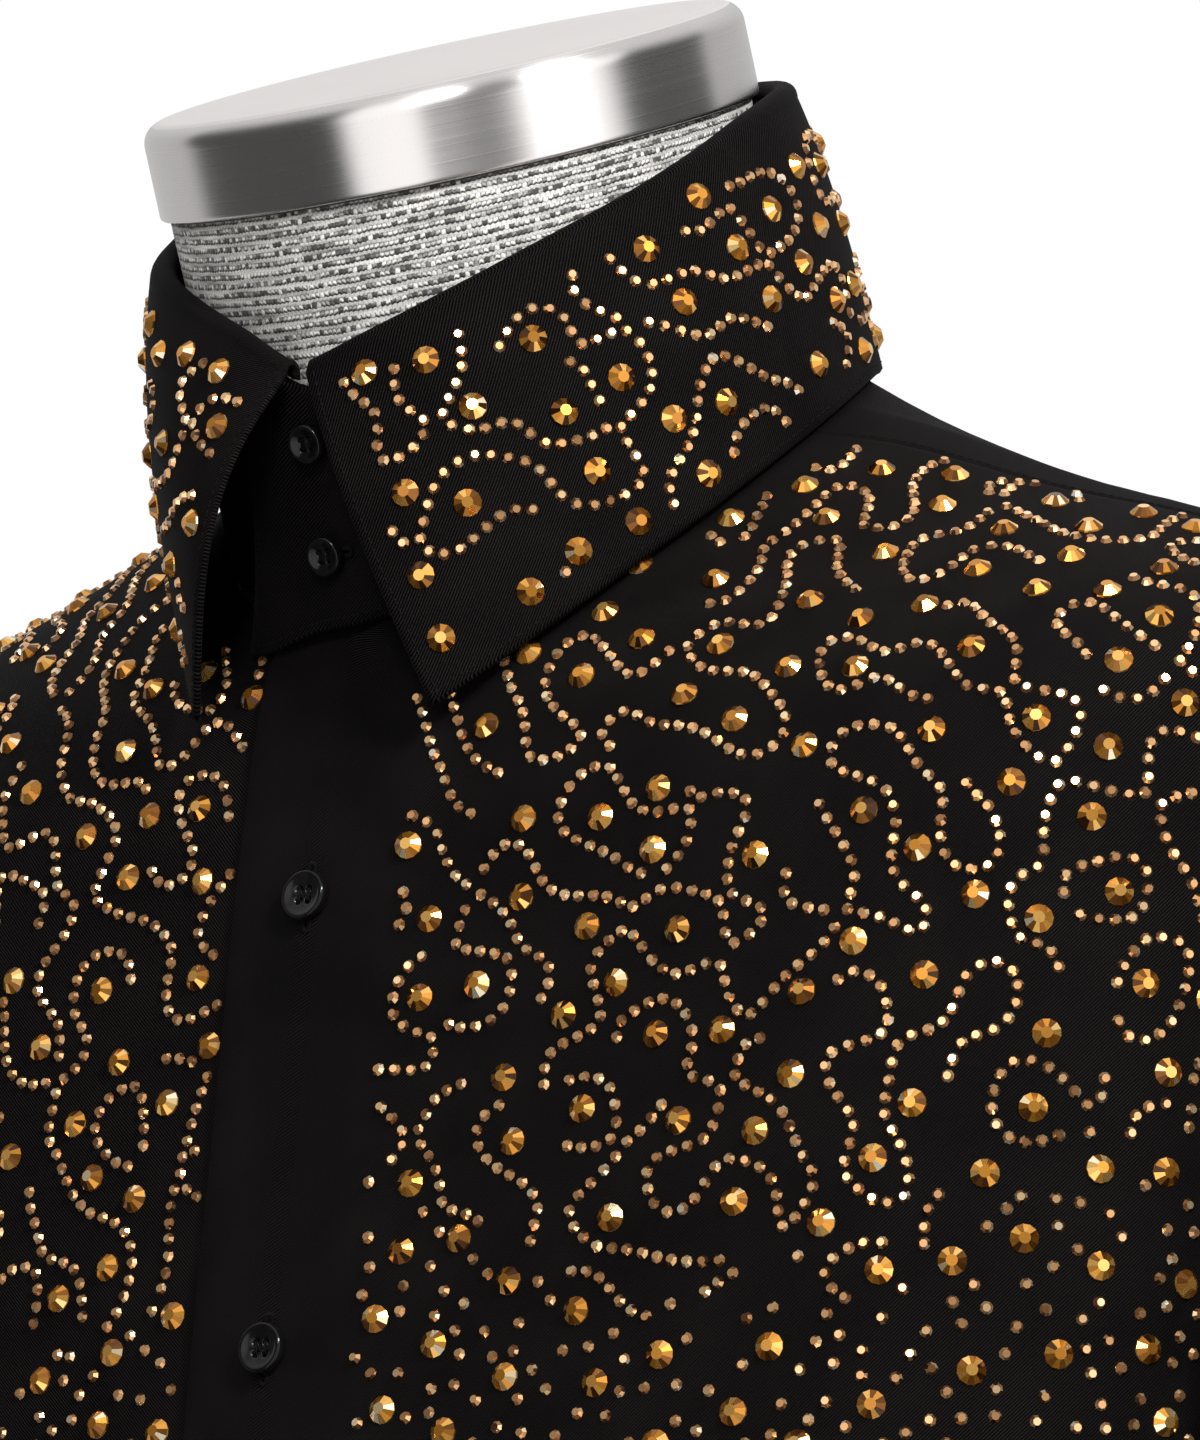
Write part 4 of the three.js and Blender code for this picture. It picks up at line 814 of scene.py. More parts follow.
def brushedMaterial(name, axis, centre, colour=(0.74, 0.71, 0.70), roughness=0.15, stretch=0.85):
    # fine lines that run round the axis; the sheen spreads across them
    material, tree, shader = newMaterial(name)
    at = node(tree, "VectorMath", {0: node(tree, "TexCoord").outputs["Object"], 1: centre}, operation="SUBTRACT").outputs[0]
    along = node(tree, "VectorMath", {0: at, 1: axis}, operation="DOT_PRODUCT").outputs["Value"]
    distance = node(tree, "VectorMath", {0: at}, operation="LENGTH").outputs["Value"]
    turned = node(tree, "VectorMath", {0: at, "Scale": 1.6}, operation="SCALE").outputs[0]
    stripe = node(tree, "CombineXYZ", {0: math(tree, "MULTIPLY", along, 4200.0), 1: math(tree, "MULTIPLY", distance, 4200.0)}).outputs[0]
    lines = node(tree, "TexNoise", {"Vector": node(tree, "VectorMath", {0: stripe, 1: turned}, operation="ADD").outputs[0], "Scale": 1.0, "Detail": 3.0}).outputs["Fac"]
    smears = node(tree, "TexNoise", {"Vector": at, "Scale": 30.0, "Detail": 3.0}).outputs["Fac"]
    dark = tuple(0.88 * c for c in colour)
    link(tree, mixColour(tree, lines, dark, colour), shader.inputs["Base Color"])
    shader.inputs["Metallic"].default_value = 1.0
    link(tree, math(tree, "MULTIPLY_ADD", lines, 0.14, math(tree, "MULTIPLY_ADD", smears, 0.08, roughness)), shader.inputs["Roughness"])
    shader.inputs["Anisotropic"].default_value = stretch
    onAxis = node(tree, "VectorMath", {0: axis, "Scale": along}, operation="SCALE").outputs[0]
    radial = node(tree, "VectorMath", {0: at, 1: onAxis}, operation="SUBTRACT").outputs[0]
    radial = node(tree, "VectorMath", {0: radial}, operation="NORMALIZE").outputs[0]
    tangent = node(tree, "VectorMath", {0: radial, 1: axis}, operation="ADD").outputs[0]
    link(tree, tangent, shader.inputs["Tangent"])
    link(tree, node(tree, "Bump", {"Height": lines, "Strength": 0.10, "Distance": 0.00003}).outputs[0], shader.inputs["Normal"])
    return material


def paintMaterial(name):
    material, tree, shader = newMaterial(name)
    at = node(tree, "TexCoord").outputs["Object"]
    grain = node(tree, "TexNoise", {"Vector": at, "Scale": 1400.0, "Detail": 2.0}).outputs["Fac"]
    dust = node(tree, "TexNoise", {"Vector": at, "Scale": 26.0, "Detail": 4.0}).outputs["Fac"]
    link(tree, ramp(tree, dust, [(0.3, 0.010), (0.8, 0.017)]), shader.inputs["Base Color"])
    link(tree, math(tree, "MULTIPLY_ADD", dust, 0.15, 0.34), shader.inputs["Roughness"])
    link(tree, node(tree, "Bump", {"Height": grain, "Strength": 0.25, "Distance": 0.00008}).outputs[0], shader.inputs["Normal"])
    return material


def dress(piece, material, *nodes, slot=None):  # gives a piece its material and hides the solids that it stands for
    piece.data.materials.append(material)
    if nodes:
        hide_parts(*nodes)
    return piece


twill = twillMaterial("black_twill", twillLook)
thread = threadMaterial("black_thread")
for name, (piece, *_) in panels.items():
    dress(piece, twill, name, slot="shirt_cloth")
for name, piece in sleeves.items():
    dress(piece, twill, name, slot="shirt_cloth")
dress(stand, twill, "collar_stand", slot="shirt_cloth")
dress(leaf, twill, "collar_leaf", slot="shirt_cloth")
print("cloth dressed")

# ---------------------------------------------------------------- form, cap, pole and base
formShape = {"bottomLevel": 0.82, "rounding": 20, "inset": 22, "neckRadius": 67.4, "lean": 21.4, "capY": -31, "capZ": 1041.3}
neckRing = {"side": 66.5, "sideY": -14, "sideZ": 1000, "frontY": -77.5, "frontZ": 966, "backY": 42, "backZ": 1024,
            "slopeFront": 1, "slopeBack": 1, "squareness": 2}
capShape = {"radius": 69.5, "height": 22, "edge": 5, "dome": 1.2}
poleShape = {"radius": 14, "flange": 45, "flangeHeight": 5}
baseShape = {"radius": 160, "height": 9, "edge": 3}
capAxis = np.array([0, -np.sin(np.radians(formShape["lean"])), np.cos(np.radians(formShape["lean"]))])


def capPoint(angle, radius, height):  # in the leaning cap's own measures
    lean = np.radians(formShape["lean"])
    return np.stack(np.broadcast_arrays(radius * np.sin(angle),
                                        formShape["capY"] - radius * np.cos(angle) * np.cos(lean) - height * np.sin(lean),
                                        formShape["capZ"] - radius * np.cos(angle) * np.sin(lean) + height * np.cos(lean)), -1)


def formPiece(name, columns=144):  # rings inside the cloth, then over the neck to the cap, closed at both ends
    turns = np.linspace(0, 2 * np.pi, columns, endpoint=False)
    levels = np.linspace(formShape["bottomLevel"], neckLevel, 90)
    angle, level = np.meshgrid(turns, levels)
    body = bodyPoint(angle, level) - bodyNormal(angle, level) * rowsAt(bodyLevels, level)["ease"][..., None]
    knots = np.stack([body[-8], body[-1], ringPoint(neckRing, turns), capPoint(turns, formShape["neckRadius"], -0.35)])
    table = {str(i): list(column) for i, column in enumerate(knots.reshape(4, -1).T)}
    steps = np.linspace(1, 3, 31)[1:]
    neck = np.array([rowsAt(table, steps)[key] for key in table]).T.reshape(len(steps), columns, 3)
    low = body[0]
    middle = np.array([0, (low[0, 1] + low[columns // 2, 1]) / 2, low[0, 2] - formShape["rounding"]])
    inset = 1 - formShape["inset"] / rowsAt(bodyLevels, formShape["bottomLevel"])["side"]
    curve = np.linspace(0, np.pi / 2, 12)[:-1]
    share = mix(inset, 1, np.sin(curve))[:, None, None]
    flatLow = low * [1, 1, 0] + np.array([0, 0, middle[2]])
    under = middle + (flatLow - middle) * share
    under[..., 2] += (formShape["rounding"] * (1 - np.cos(curve)))[:, None]
    ends = [middle + (under[0] - middle) * 0.001, under, body, neck]
    top = capPoint(0, 0, -0.35)
    rings = np.concatenate([ends[0][None], under, body, neck, (top + (neck[-1] - top) * 0.001)[None]])
    around = np.cumsum(np.linalg.norm(np.diff(rings, axis=1, prepend=rings[:, :1]), axis=-1), axis=1)
    along = np.cumsum(np.linalg.norm(np.diff(rings, axis=0, prepend=rings[:1]), axis=-1), axis=0)
    wide = np.linspace(0, 1, columns + 1)[None] * (around[:, -1:] + np.linalg.norm(rings[:, :1] - rings[:, -1:], axis=-1))
    n = len(rings)
    r, c = np.meshgrid(np.arange(n - 1), np.arange(columns), indexing="ij")
    r, c = r.ravel(), c.ravel()
    corner = [(r, c), (r, c + 1), (r + 1, c + 1), (r + 1, c)]
    quads = np.stack([y * columns + x % columns for y, x in corner], -1)
    rowsOfNeck = np.mean(along, axis=1)
    uv = np.stack([np.stack([wide[y, x] - wide[y, -1] / 2, rowsOfNeck[y]], -1) for y, x in corner], 1)
    k = np.arange(columns)
    lids = np.concatenate([k[::-1], (n - 1) * columns + k])
    corners = np.concatenate([quads.ravel(), lids])
    sizes = np.concatenate([np.full(len(quads), 4), [columns, columns]])
    uvs = np.concatenate([uv.reshape(-1, 2), np.zeros((2 * columns, 2))])
    return makeMesh(name, rings.reshape(-1, 3), corners, sizes, uvs)


cover = dress(formPiece("form_cover"), coverMaterial("grey_melange", coverLook), "form_body", slot="form_cover")

arc = np.radians(np.linspace(0, 90, 13))
capR, capH, capE = capShape["radius"], capShape["height"], capShape["edge"]
topEdge = np.stack([capR - capE * (1 - np.cos(arc)), capH - capE * (1 - np.sin(arc))], -1)
inner = np.linspace(capR - capE - 2, 0, 24)
topFace = np.stack([inner, capH + capShape["dome"] * (1 - (inner / (capR - capE)) ** 2)], -1)
lowEdge = [[0, 0], [capR * 0.5, 0], [capR - 1.6, 0], [capR - 0.5, 0.15], [capR - 0.1, 0.5], [capR, 1.0]]
side = np.stack([np.full(14, capR), np.linspace(1.5, capH - capE - 0.5, 14)], -1)
capPiece = lathePiece("neck_cap_spun", np.concatenate([lowEdge, side, topEdge, topFace]), 256,
                      place=lambda p: capPoint(np.arctan2(p[:, 0], -p[:, 1]), np.hypot(p[:, 0], p[:, 1]), p[:, 2]))
capCentre = (capPoint(0.0, 0.0, 0.0) * 0.001).tolist()
dress(capPiece, brushedMaterial("brushed_cap_side", capAxis.tolist(), capCentre), "neck_cap", slot="brushed_steel")
capPiece.data.materials.append(brushedMaterial("brushed_cap_top", capAxis.tolist(), capCentre, roughness=0.45, stretch=0.0))
capHeights = np.zeros(len(capPiece.data.vertices) * 3)
capPiece.data.vertices.foreach_get("co", capHeights)
capHeights = (capHeights.reshape(-1, 3) - capCentre) @ capAxis * 1000
capCorners = np.zeros(len(capPiece.data.loops), np.int32)
capPiece.data.loops.foreach_get("vertex_index", capCorners)
capStarts = np.zeros(len(capPiece.data.polygons), np.int32)
capPiece.data.polygons.foreach_get("loop_start", capStarts)
onTop = np.minimum.reduceat(capHeights[capCorners], capStarts) > capH - 0.7
capPiece.data.polygons.foreach_set("material_index", onTop.astype(np.int32))

poleTop = 0.001 * 0 + bodyPoint(0.0, formShape["bottomLevel"])[2] - formShape["rounding"] - 0.35
poleLow, pr, fr, fh = baseShape["height"] + 0.35, poleShape["radius"], poleShape["flange"], poleShape["flangeHeight"]
poleProfile = [[0, poleLow], [pr - 0.6, poleLow], [pr, poleLow + 0.6], [pr, poleLow + 60], [pr, poleTop - fh - 3], [pr + 0.9, poleTop - fh - 0.9],
               [pr + 3, poleTop - fh], [fr - 0.8, poleTop - fh], [fr, poleTop - fh + 0.8], [fr, poleTop - 0.6], [fr - 0.6, poleTop], [0, poleTop]]
dress(lathePiece("pole_tube", poleProfile, 96), brushedMaterial("brushed_pole", [0, 0, 1], [0, 0, 0]), "pole", slot="brushed_steel")
br, bh, be = baseShape["radius"], baseShape["height"], baseShape["edge"]
roundEdge = np.stack([br - be * (1 - np.cos(arc)), bh - be * (1 - np.sin(arc))], -1)
baseProfile = np.concatenate([[[0, 0], [br - 0.8, 0], [br, 0.8], [br, bh - be - 0.5]], roundEdge, [[br - 20, bh], [20, bh], [0, bh]]])
dress(lathePiece("base_plate", baseProfile, 192), paintMaterial("black_paint"), "base", slot="base_paint")
print("form done")

# ---------------------------------------------------------------- buttons
buttonSizes = {"large": 5.7, "small": 4.55, "thickness": 2.6, "hole": 0.85, "spread": 1.25, "heights": [863.5, 763, 665, 567, 469, 371]}
collarButtonShares = [0.33, 0.78]


def buttonPiece(name, radius, centre, axes, columns=96):
    # a polar grid: rounded underside and rim, a shallow dish and four sunk holes
    half, edge = buttonSizes["thickness"] / 2, 0.5
    curve = np.linspace(-np.pi / 2, np.pi / 2, 9)
    under = np.linspace(0, radius - edge, 4)[:-1]
    rim = np.stack([radius - edge + edge * np.cos(curve), (half - 0.02) * np.sin(curve)], -1)
    brow = np.array([[radius - edge - 0.25, half + 0.0], [radius - edge - 0.6, half - 0.08], [radius - edge - 0.95, half - 0.24]])
    dish = radius - edge - 0.95
    face = np.linspace(dish, 0, 24)[1:]
    profile = np.concatenate([np.stack([under, np.full(len(under), -half)], -1), rim, brow,
                              np.stack([face, half - 0.24 - 0.8 * (1 - (face / dish) ** 2)], -1)])
    turns = np.linspace(0, 2 * np.pi, columns, endpoint=False)
    ring = np.stack([profile[1:-1, None, 0] * np.cos(turns), profile[1:-1, None, 0] * np.sin(turns),
                     np.broadcast_to(profile[1:-1, None, 1], (len(profile) - 2, columns))], -1)
    scale = radius / buttonSizes["large"]
    holes = np.array([[x, y] for x in (-1, 1) for y in (-1, 1)]) * buttonSizes["spread"] * scale
    distance = np.linalg.norm(ring[..., None, :2] - holes, axis=-1).min(-1) / (buttonSizes["hole"] * scale)
    onTop = (np.arange(len(ring)) > len(under) + 6)[:, None]
    ring[..., 2] -= np.where(onTop, 1.35 * (1 - smooth(0.72, 1.12, distance)) + 0.05 * bell((distance - 1.2) / 0.3), 0)
    points = np.concatenate([ring.reshape(-1, 3), [[0, 0, -half], [0, 0, profile[-1, 1]]]])
    n = len(ring)
    r, c = np.meshgrid(np.arange(n - 1), np.arange(columns), indexing="ij")
    r, c = r.ravel(), c.ravel()
    d = (c + 1) % columns
    quads = np.stack([r * columns + c, r * columns + d, (r + 1) * columns + d, (r + 1) * columns + c], -1)
    k = np.arange(columns)
    low, high = n * columns, n * columns + 1
    caps = np.concatenate([np.stack([(k + 1) % columns, k, np.full(columns, low)], -1),
                           np.stack([(n - 1) * columns + k, (n - 1) * columns + (k + 1) % columns, np.full(columns, high)], -1)])
    corners = np.concatenate([quads.ravel(), caps.ravel()])
    sizes = np.concatenate([np.full(len(quads), 4), np.full(len(caps), 3)])
    return makeMesh(name, points @ np.array(axes) + centre, corners, sizes)


def axesAt(normal, lean=0.0):  # sideways, up and outward unit rows, turned by lean
    z = unit(np.asarray(normal, float))
    x = unit(np.cross([0, 0, 1.0], z))
    y = np.cross(z, x)
    c, s = np.cos(np.radians(lean)), np.sin(np.radians(lean))
    return np.array([x * c + y * s, y * c - x * s, z])


gloss = buttonMaterial("black_gloss")
buttonPlaces = {}
for i, height in enumerate(buttonSizes["heights"]):
    level = levelAtHeight(height, 0.0)
    zero = np.array(0.0)
    normal = bodyNormal(zero, level)
    out = clothSizes["frontLift"] + clothSizes["wall"] + 0.35 + buttonSizes["thickness"] / 2
    buttonPlaces["button_front_%d" % (i + 1)] = (bodyPoint(zero, level) + normal * out, axesAt(normal), buttonSizes["large"])
for i, share in enumerate(collarButtonShares):
    zero = np.array(0.0)
    normal = normalOf(standRing, zero, np.array(share), 0.02, 0.01)
    place = standCloth(zero, np.array(share), standLift(zero, share) + clothSizes["standWall"] + 1.05 + buttonSizes["thickness"] / 2)
    buttonPlaces["button_collar_%d" % (i + 1)] = (place, axesAt(normal), buttonSizes["small"])
cuffTurn, halfway = np.array(np.radians(cuffShape["start"])), np.array(0.5)
cuffNormal = normalOf(cuffPoint, cuffTurn, halfway, 0.01, 0.01)
cuffNormal = cuffNormal if cuffNormal[0] * np.cos(cuffTurn) - cuffNormal[1] * np.sin(cuffTurn) > 0 else -cuffNormal
cuffPlace = cuffPoint(cuffTurn, halfway) + cuffNormal * (cuffShape["overlapLift"] + 0.8 - 0.25 + buttonSizes["thickness"] / 2)
buttonPlaces["button_cuff_left"] = (cuffPlace, axesAt(cuffNormal), buttonSizes["small"])
buttonPlaces["button_cuff_right"] = (cuffPlace * [-1, 1, 1], axesAt(cuffNormal * [-1, 1, 1]), buttonSizes["small"])
for name, (centre, axes, radius) in buttonPlaces.items():
    seen = name in ("button_front_1", "button_front_2", "button_collar_1", "button_collar_2")
    dress(buttonPiece(name + "_turned", radius, centre, axes, 96 if seen else 48), gloss, name, slot="button")
print("buttons done")

# ---------------------------------------------------------------- places on a grid surface
def sample(grid, r, c):  # bilinear, at fractional rows and columns
    i = np.clip(np.floor(r).astype(int), 0, grid.shape[0] - 2)
    j = np.clip(np.floor(c).astype(int), 0, grid.shape[1] - 2)
    u, v = (r - i)[..., None], (c - j)[..., None]
    return mix(mix(grid[i, j], grid[i, j + 1], v), mix(grid[i + 1, j], grid[i + 1, j + 1], v), u)


def gridNormals(points, sign=1):  # unit normals on the columns x rows side
    return sign * unit(np.cross(np.gradient(points, axis=1), np.gradient(points, axis=0)))


def edgeRoute(points, normals, edge, inset):  # a line along one edge of a grid, inset millimetres inside it
    if edge in ("start", "end"):
        points, normals = points.transpose(1, 0, 2), normals.transpose(1, 0, 2)
    if edge in ("top", "end"):
        points, normals = points[::-1], normals[::-1]
    inward = np.cumsum(np.linalg.norm(np.diff(points[:40], axis=0, prepend=points[:1]), axis=-1), axis=0)
    i = np.clip((inward < inset).sum(0) - 1, 0, 38)
    column = np.arange(points.shape[1])
    share = (inset - inward[i, column]) / (inward[i + 1, column] - inward[i, column])
    return sample(points, i + share, column.astype(float)), sample(normals, i + share, column.astype(float))


# ---------------------------------------------------------------- sewing
stitchSizes = {"length": 2.0, "width": 0.34, "pitch": 2.45, "inset": 1.6}


def threadTemplate(length, width, height):  # a six-sided spindle along the first axis
    turns = np.linspace(0, 2 * np.pi, 6, endpoint=False)
    ring = np.stack([np.zeros(6), np.cos(turns) * width / 2, np.sin(turns) * height], -1)
    points = np.concatenate([[[-length / 2, 0, 0]], ring + [-length * 0.3, 0, 0], ring + [length * 0.3, 0, 0], [[length / 2, 0, 0]]])
    k = np.arange(6)
    n = (k + 1) % 6
    faces = np.concatenate([np.stack([np.zeros(6, int), n + 1, k + 1], -1), np.stack([k + 1, n + 1, n + 7], -1),
                            np.stack([k + 1, n + 7, k + 7], -1), np.stack([k + 7, n + 7, np.full(6, 13)], -1)])
    return points, faces


def stitchLine(route, normals, pitch, lean=0.0):  # evenly spaced places along a route, each with its own axes
    lengths = np.concatenate([[0], np.cumsum(np.linalg.norm(np.diff(route, axis=0), axis=-1))])
    count = max(int(lengths[-1] / pitch), 2)
    at = (np.arange(count) + 0.5) * lengths[-1] / count
    place = np.stack([np.interp(at, lengths, route[:, k]) for k in range(3)], -1)
    ahead = np.stack([np.interp(at + 0.4, lengths, route[:, k]) - np.interp(at - 0.4, lengths, route[:, k]) for k in range(3)], -1)
    z = unit(np.stack([np.interp(at, lengths, normals[:, k]) for k in range(3)], -1))
    x = unit(ahead - (ahead * z).sum(-1, keepdims=True) * z)
    y = np.cross(z, x)
    c, s = np.cos(lean), np.sin(lean)
    return place, np.stack([x * c + y * s, y * c - x * s, z], 1)


def seam(name, lines, mirror=False):  # rows of topstitching joined into one piece
    places, frames = zip(*[stitchLine(route, normals, stitchSizes["pitch"]) for route, normals in lines])
    places, frames = np.concatenate(places), np.concatenate(frames)
    if mirror:
        places, frames = places * [-1, 1, 1], frames * [-1, 1, 1]
        frames[:, 1] *= -1
    template, faces = threadTemplate(stitchSizes["length"], stitchSizes["width"], 0.16)
    return dress(copies(name, template, faces, places + frames[:, 2] * 0.03, frames, soft=True), thread)


inset = stitchSizes["inset"]
outerNormals = -leafNrm
leafPart = slice(int(0.2 * len(leafOuter)), None)
seam("leaf_stitching", [edgeRoute(leafOuter[leafPart], outerNormals[leafPart], edge, inset) for edge in ("top", "start", "end")])
standNormals = gridNormals(standFace)
seam("stand_stitching", [edgeRoute(standFace, standNormals, edge, inset) for edge in ("bottom", "start", "end")])
frontFace, backFace, yokeFace = (panels[key][1] for key in ("front_left", "back", "yoke"))
for side in ("left", "right"):
    seam("front_" + side + "_stitching", [edgeRoute(frontFace, gridNormals(frontFace), "bottom", 6.0)], side == "right")
    seam("cuff_" + side + "_stitching", [edgeRoute(cuffFace, gridNormals(cuffFace), edge, inset + 0.4) for edge in ("bottom", "top", "start", "end")],
         side == "right")
    seam("sleeve_placket_" + side + "_stitching",
         [edgeRoute(stripFace, gridNormals(stripFace, -1), edge, 1.2) for edge in ("bottom", "start", "end")], side == "right")
seam("back_stitching", [edgeRoute(backFace, gridNormals(backFace), "bottom", 6.0)])
seam("yoke_stitching", [edgeRoute(yokeFace, gridNormals(yokeFace), edge, inset) for edge in ("bottom", "start", "end")])


def buttonhole(name, centre, axes, length=16.5, width=2.6):  # threads laid across a stadium-shaped ring
    straight, radius = (length - width) / 2, width / 2 - 0.5
    bend = np.linspace(-np.pi / 2, np.pi / 2, 9)
    end = np.stack([radius * np.cos(bend) + straight, radius * np.sin(bend)], -1)
    ring = np.concatenate([end, -end, end[:1]])
    route = np.stack([ring[:, 0], ring[:, 1], np.zeros(len(ring))], -1) @ axes + centre
    places, frames = stitchLine(route, np.repeat(axes[2:], len(ring), 0), 0.42, np.pi / 2)
    template, faces = threadTemplate(1.25, 0.46, 0.34)
    return dress(copies(name, template, faces, places, frames, soft=True), thread)


def threadBars(name, centre, axes, radius):  # threads from hole to hole
    spread = buttonSizes["spread"] * radius / buttonSizes["large"]
    template, faces = threadTemplate(2 * spread + 1.2, 0.32, 0.16)
    places = np.array([[x * spread + shift, 0, 0] for x in (-1, 1) for shift in (-0.2, 0.2)]) + [0, 0, buttonSizes["thickness"] / 2 - 0.86]
    turned = np.array([[0, 1, 0], [-1, 0, 0], [0, 0, 1.0]]) @ axes
    return dress(copies(name, template, faces, places @ axes + centre, np.repeat(turned[None], 4, 0), soft=True), thread)


for name, (centre, axes, radius) in buttonPlaces.items():
    threadBars(name + "_thread", centre, axes, radius)
    under = buttonSizes["thickness"] / 2 + (0.35 if "front" in name else 1.05 if "collar" in name else -0.25)
    along = axes if "front" not in name else np.array([axes[1], -axes[0], axes[2]])
    buttonhole(name + "_hole", centre - axes[2] * (under - 0.1), along, 16.5 if "front" in name else 12.5)
print("sewing done")

# ---------------------------------------------------------------- stones
stoneSizes = {"smallRadius": 1.5, "smallHeight": 0.95, "largeRadius": 3.2, "largeHeight": 1.95, "pitch": 3.75,
              "waveLength": 20.5, "waves": 26, "largeGap": 14.0, "clear": 5.2, "linesAbove": 779, "thinsBelow": 620}
chance = np.random.default_rng(1854)
waveWays = unit(chance.normal(0, 1, (stoneSizes["waves"], 3)))
waveNumbers = 2 * np.pi / stoneSizes["waveLength"] * chance.uniform(0.9, 1.1, stoneSizes["waves"])
wavePhases = chance.uniform(0, 2 * np.pi, stoneSizes["waves"])


def waveField(points):  # plane waves of nearly one length in many directions: their sum winds in even bands
    return np.cos(points @ (waveWays * waveNumbers[:, None]).T + wavePhases).sum(-1) / np.sqrt(len(waveWays) / 2)


def contours(field):  # chains of places where the field passes zero, in fractional rows and columns
    rows, columns = field.shape
    f = np.where(field == 0, 1e-9, field)
    number = np.arange(rows * columns).reshape(rows, columns)
    place = np.zeros((2 * rows * columns, 2))
    r, c = np.nonzero(f[:, :-1] * f[:, 1:] < 0)
    place[number[r, c]] = np.stack([r, c + f[r, c] / (f[r, c] - f[r, c + 1])], -1)
    r, c = np.nonzero(f[:-1] * f[1:] < 0)
    place[number[r, c] + rows * columns] = np.stack([r + f[r, c] / (f[r, c] - f[r + 1, c]), c], -1)
    across, upward = f[:, :-1] * f[:, 1:] < 0, f[:-1] * f[1:] < 0
    sides = np.stack([across[:-1], upward[:, :-1], across[1:], upward[:, 1:]], -1)
    names = np.stack([number[:-1, :-1], number[:-1, :-1] + rows * columns, number[1:, :-1], number[:-1, 1:] + rows * columns], -1)
    count = sides.sum(-1)
    pairs = np.concatenate([names[count == 2][sides[count == 2]].reshape(-1, 2), names[count == 4].reshape(-1, 2)])
    links = {}
    for a, b in pairs.tolist():
        links.setdefault(a, []).append(b)
        links.setdefault(b, []).append(a)
    chains, used = [], set()
    for start in sorted(links, key=lambda name: len(links[name])):
        now, chain = start, []
        while now is not None and now not in used:
            used.add(now)
            chain.append(now)
            now = next((other for other in links[now] if other not in used), None)
        if len(chain) > 3:
            chains.append(place[chain])
    return chains


def apart(points, gaps, kept=None):  # which points keep clear of those kept before them
    store = np.full((len(points) + (0 if kept is None else len(kept)), 3), 1e6)
    n = 0 if kept is None else len(kept)
    if n:
        store[:n] = kept
    chosen = []
    for i, (point, gap) in enumerate(zip(points, np.broadcast_to(gaps, len(points)))):
        if n == 0 or ((store[:n] - point) ** 2).sum(-1).min() >= gap * gap:
            store[n] = point
            n += 1
            chosen.append(i)
    return np.array(chosen, int)


def stonePlaces(points, field, allowed, linesAbove):
    # small stones in lines along the zero lines, scattered ones below them, and large ones between the lines
    area = np.linalg.norm(np.cross(np.gradient(points, axis=1), np.gradient(points, axis=0)), axis=-1)
    onMask = lambda at: sample(allowed[..., None], at[:, 0], at[:, 1])[:, 0] > 0.99
    small = []
    for chain in contours(field):
        lengths = np.concatenate([[0], np.cumsum(np.linalg.norm(np.diff(sample(points, *chain.T), axis=0), axis=-1))])
        count = int(lengths[-1] / stoneSizes["pitch"])
        if count < 2:
            continue
        steps = chance.uniform(0.93, 1.07, count).cumsum()
        at = steps / (count + 0.4) * lengths[-1]
        opening = np.sin(at / chance.uniform(23, 37) + chance.uniform(0, 6.3)) < -0.94
        at = at[~opening]
        small.append(np.stack([np.interp(at, lengths, chain[:, k]) for k in (0, 1)], -1))
    small = np.concatenate(small)
    at = sample(points, *small.T)
    linesEnd = linesAbove + 16 * np.sin(at[:, 0] / 29 + 1) + chance.normal(0, 5, len(small))
    small = small[onMask(small) & (at[:, 2] > linesEnd)]
    small = small[apart(sample(points, *small.T), 3.2)]

    def scattered(amount):  # random places, evenly over the surface
        cells = chance.choice(area.size, amount, p=(area * (allowed > 0.5)).ravel() / (area * (allowed > 0.5)).sum())
        at = np.stack(np.unravel_index(cells, area.shape), -1) + chance.uniform(-0.5, 0.5, (amount, 2))
        at = np.clip(at, 0, np.array(area.shape) - 1.001)
        return at[onMask(at)]
    inLines = sample(points, *small.T)
    tries = scattered(16000)
    place = sample(points, *tries.T)
    strength = np.abs(sample(field[..., None], *tries.T)[:, 0]) + chance.uniform(0, 0.5, len(tries))
    order = np.argsort(-strength)
    order = order[(strength[order] > 0.75) | (place[order, 2] < linesAbove)]
    thin = 1 / np.sqrt(mix(0.25, 1, smooth(200, stoneSizes["thinsBelow"], place[:, 2])))
    farFromLines = np.array([((inLines - p) ** 2).sum(-1).min() > stoneSizes["clear"] ** 2 if len(inLines) else True for p in place[order]])
    order = order[farFromLines]
    gaps = np.where(place[order, 2] < linesAbove, stoneSizes["largeGap"] * 1.1, stoneSizes["largeGap"]) * thin[order]
    large = tries[order[apart(place[order], gaps)]]
    bigPlaces = sample(points, *large.T)
    tries = scattered(16000)
    place = sample(points, *tries.T)
    thin = 1 / np.sqrt(mix(0.25, 1, smooth(200, stoneSizes["thinsBelow"], place[:, 2])))
    low = place[:, 2] < linesAbove - 2 + 16 * np.sin(place[:, 0] / 29 + 1) + chance.normal(0, 6, len(place))
    tries, place, thin = tries[low], place[low], thin[low]
    if len(bigPlaces) and len(place):
        off = np.array([((bigPlaces - p) ** 2).sum(-1).min() for p in place]) > (stoneSizes["clear"] + 0.2) ** 2
        tries, place, thin = tries[off], place[off], thin[off]
    more = tries[apart(place, 5.1 * thin, inLines)] if len(place) else tries
    return np.concatenate([small, more]), large


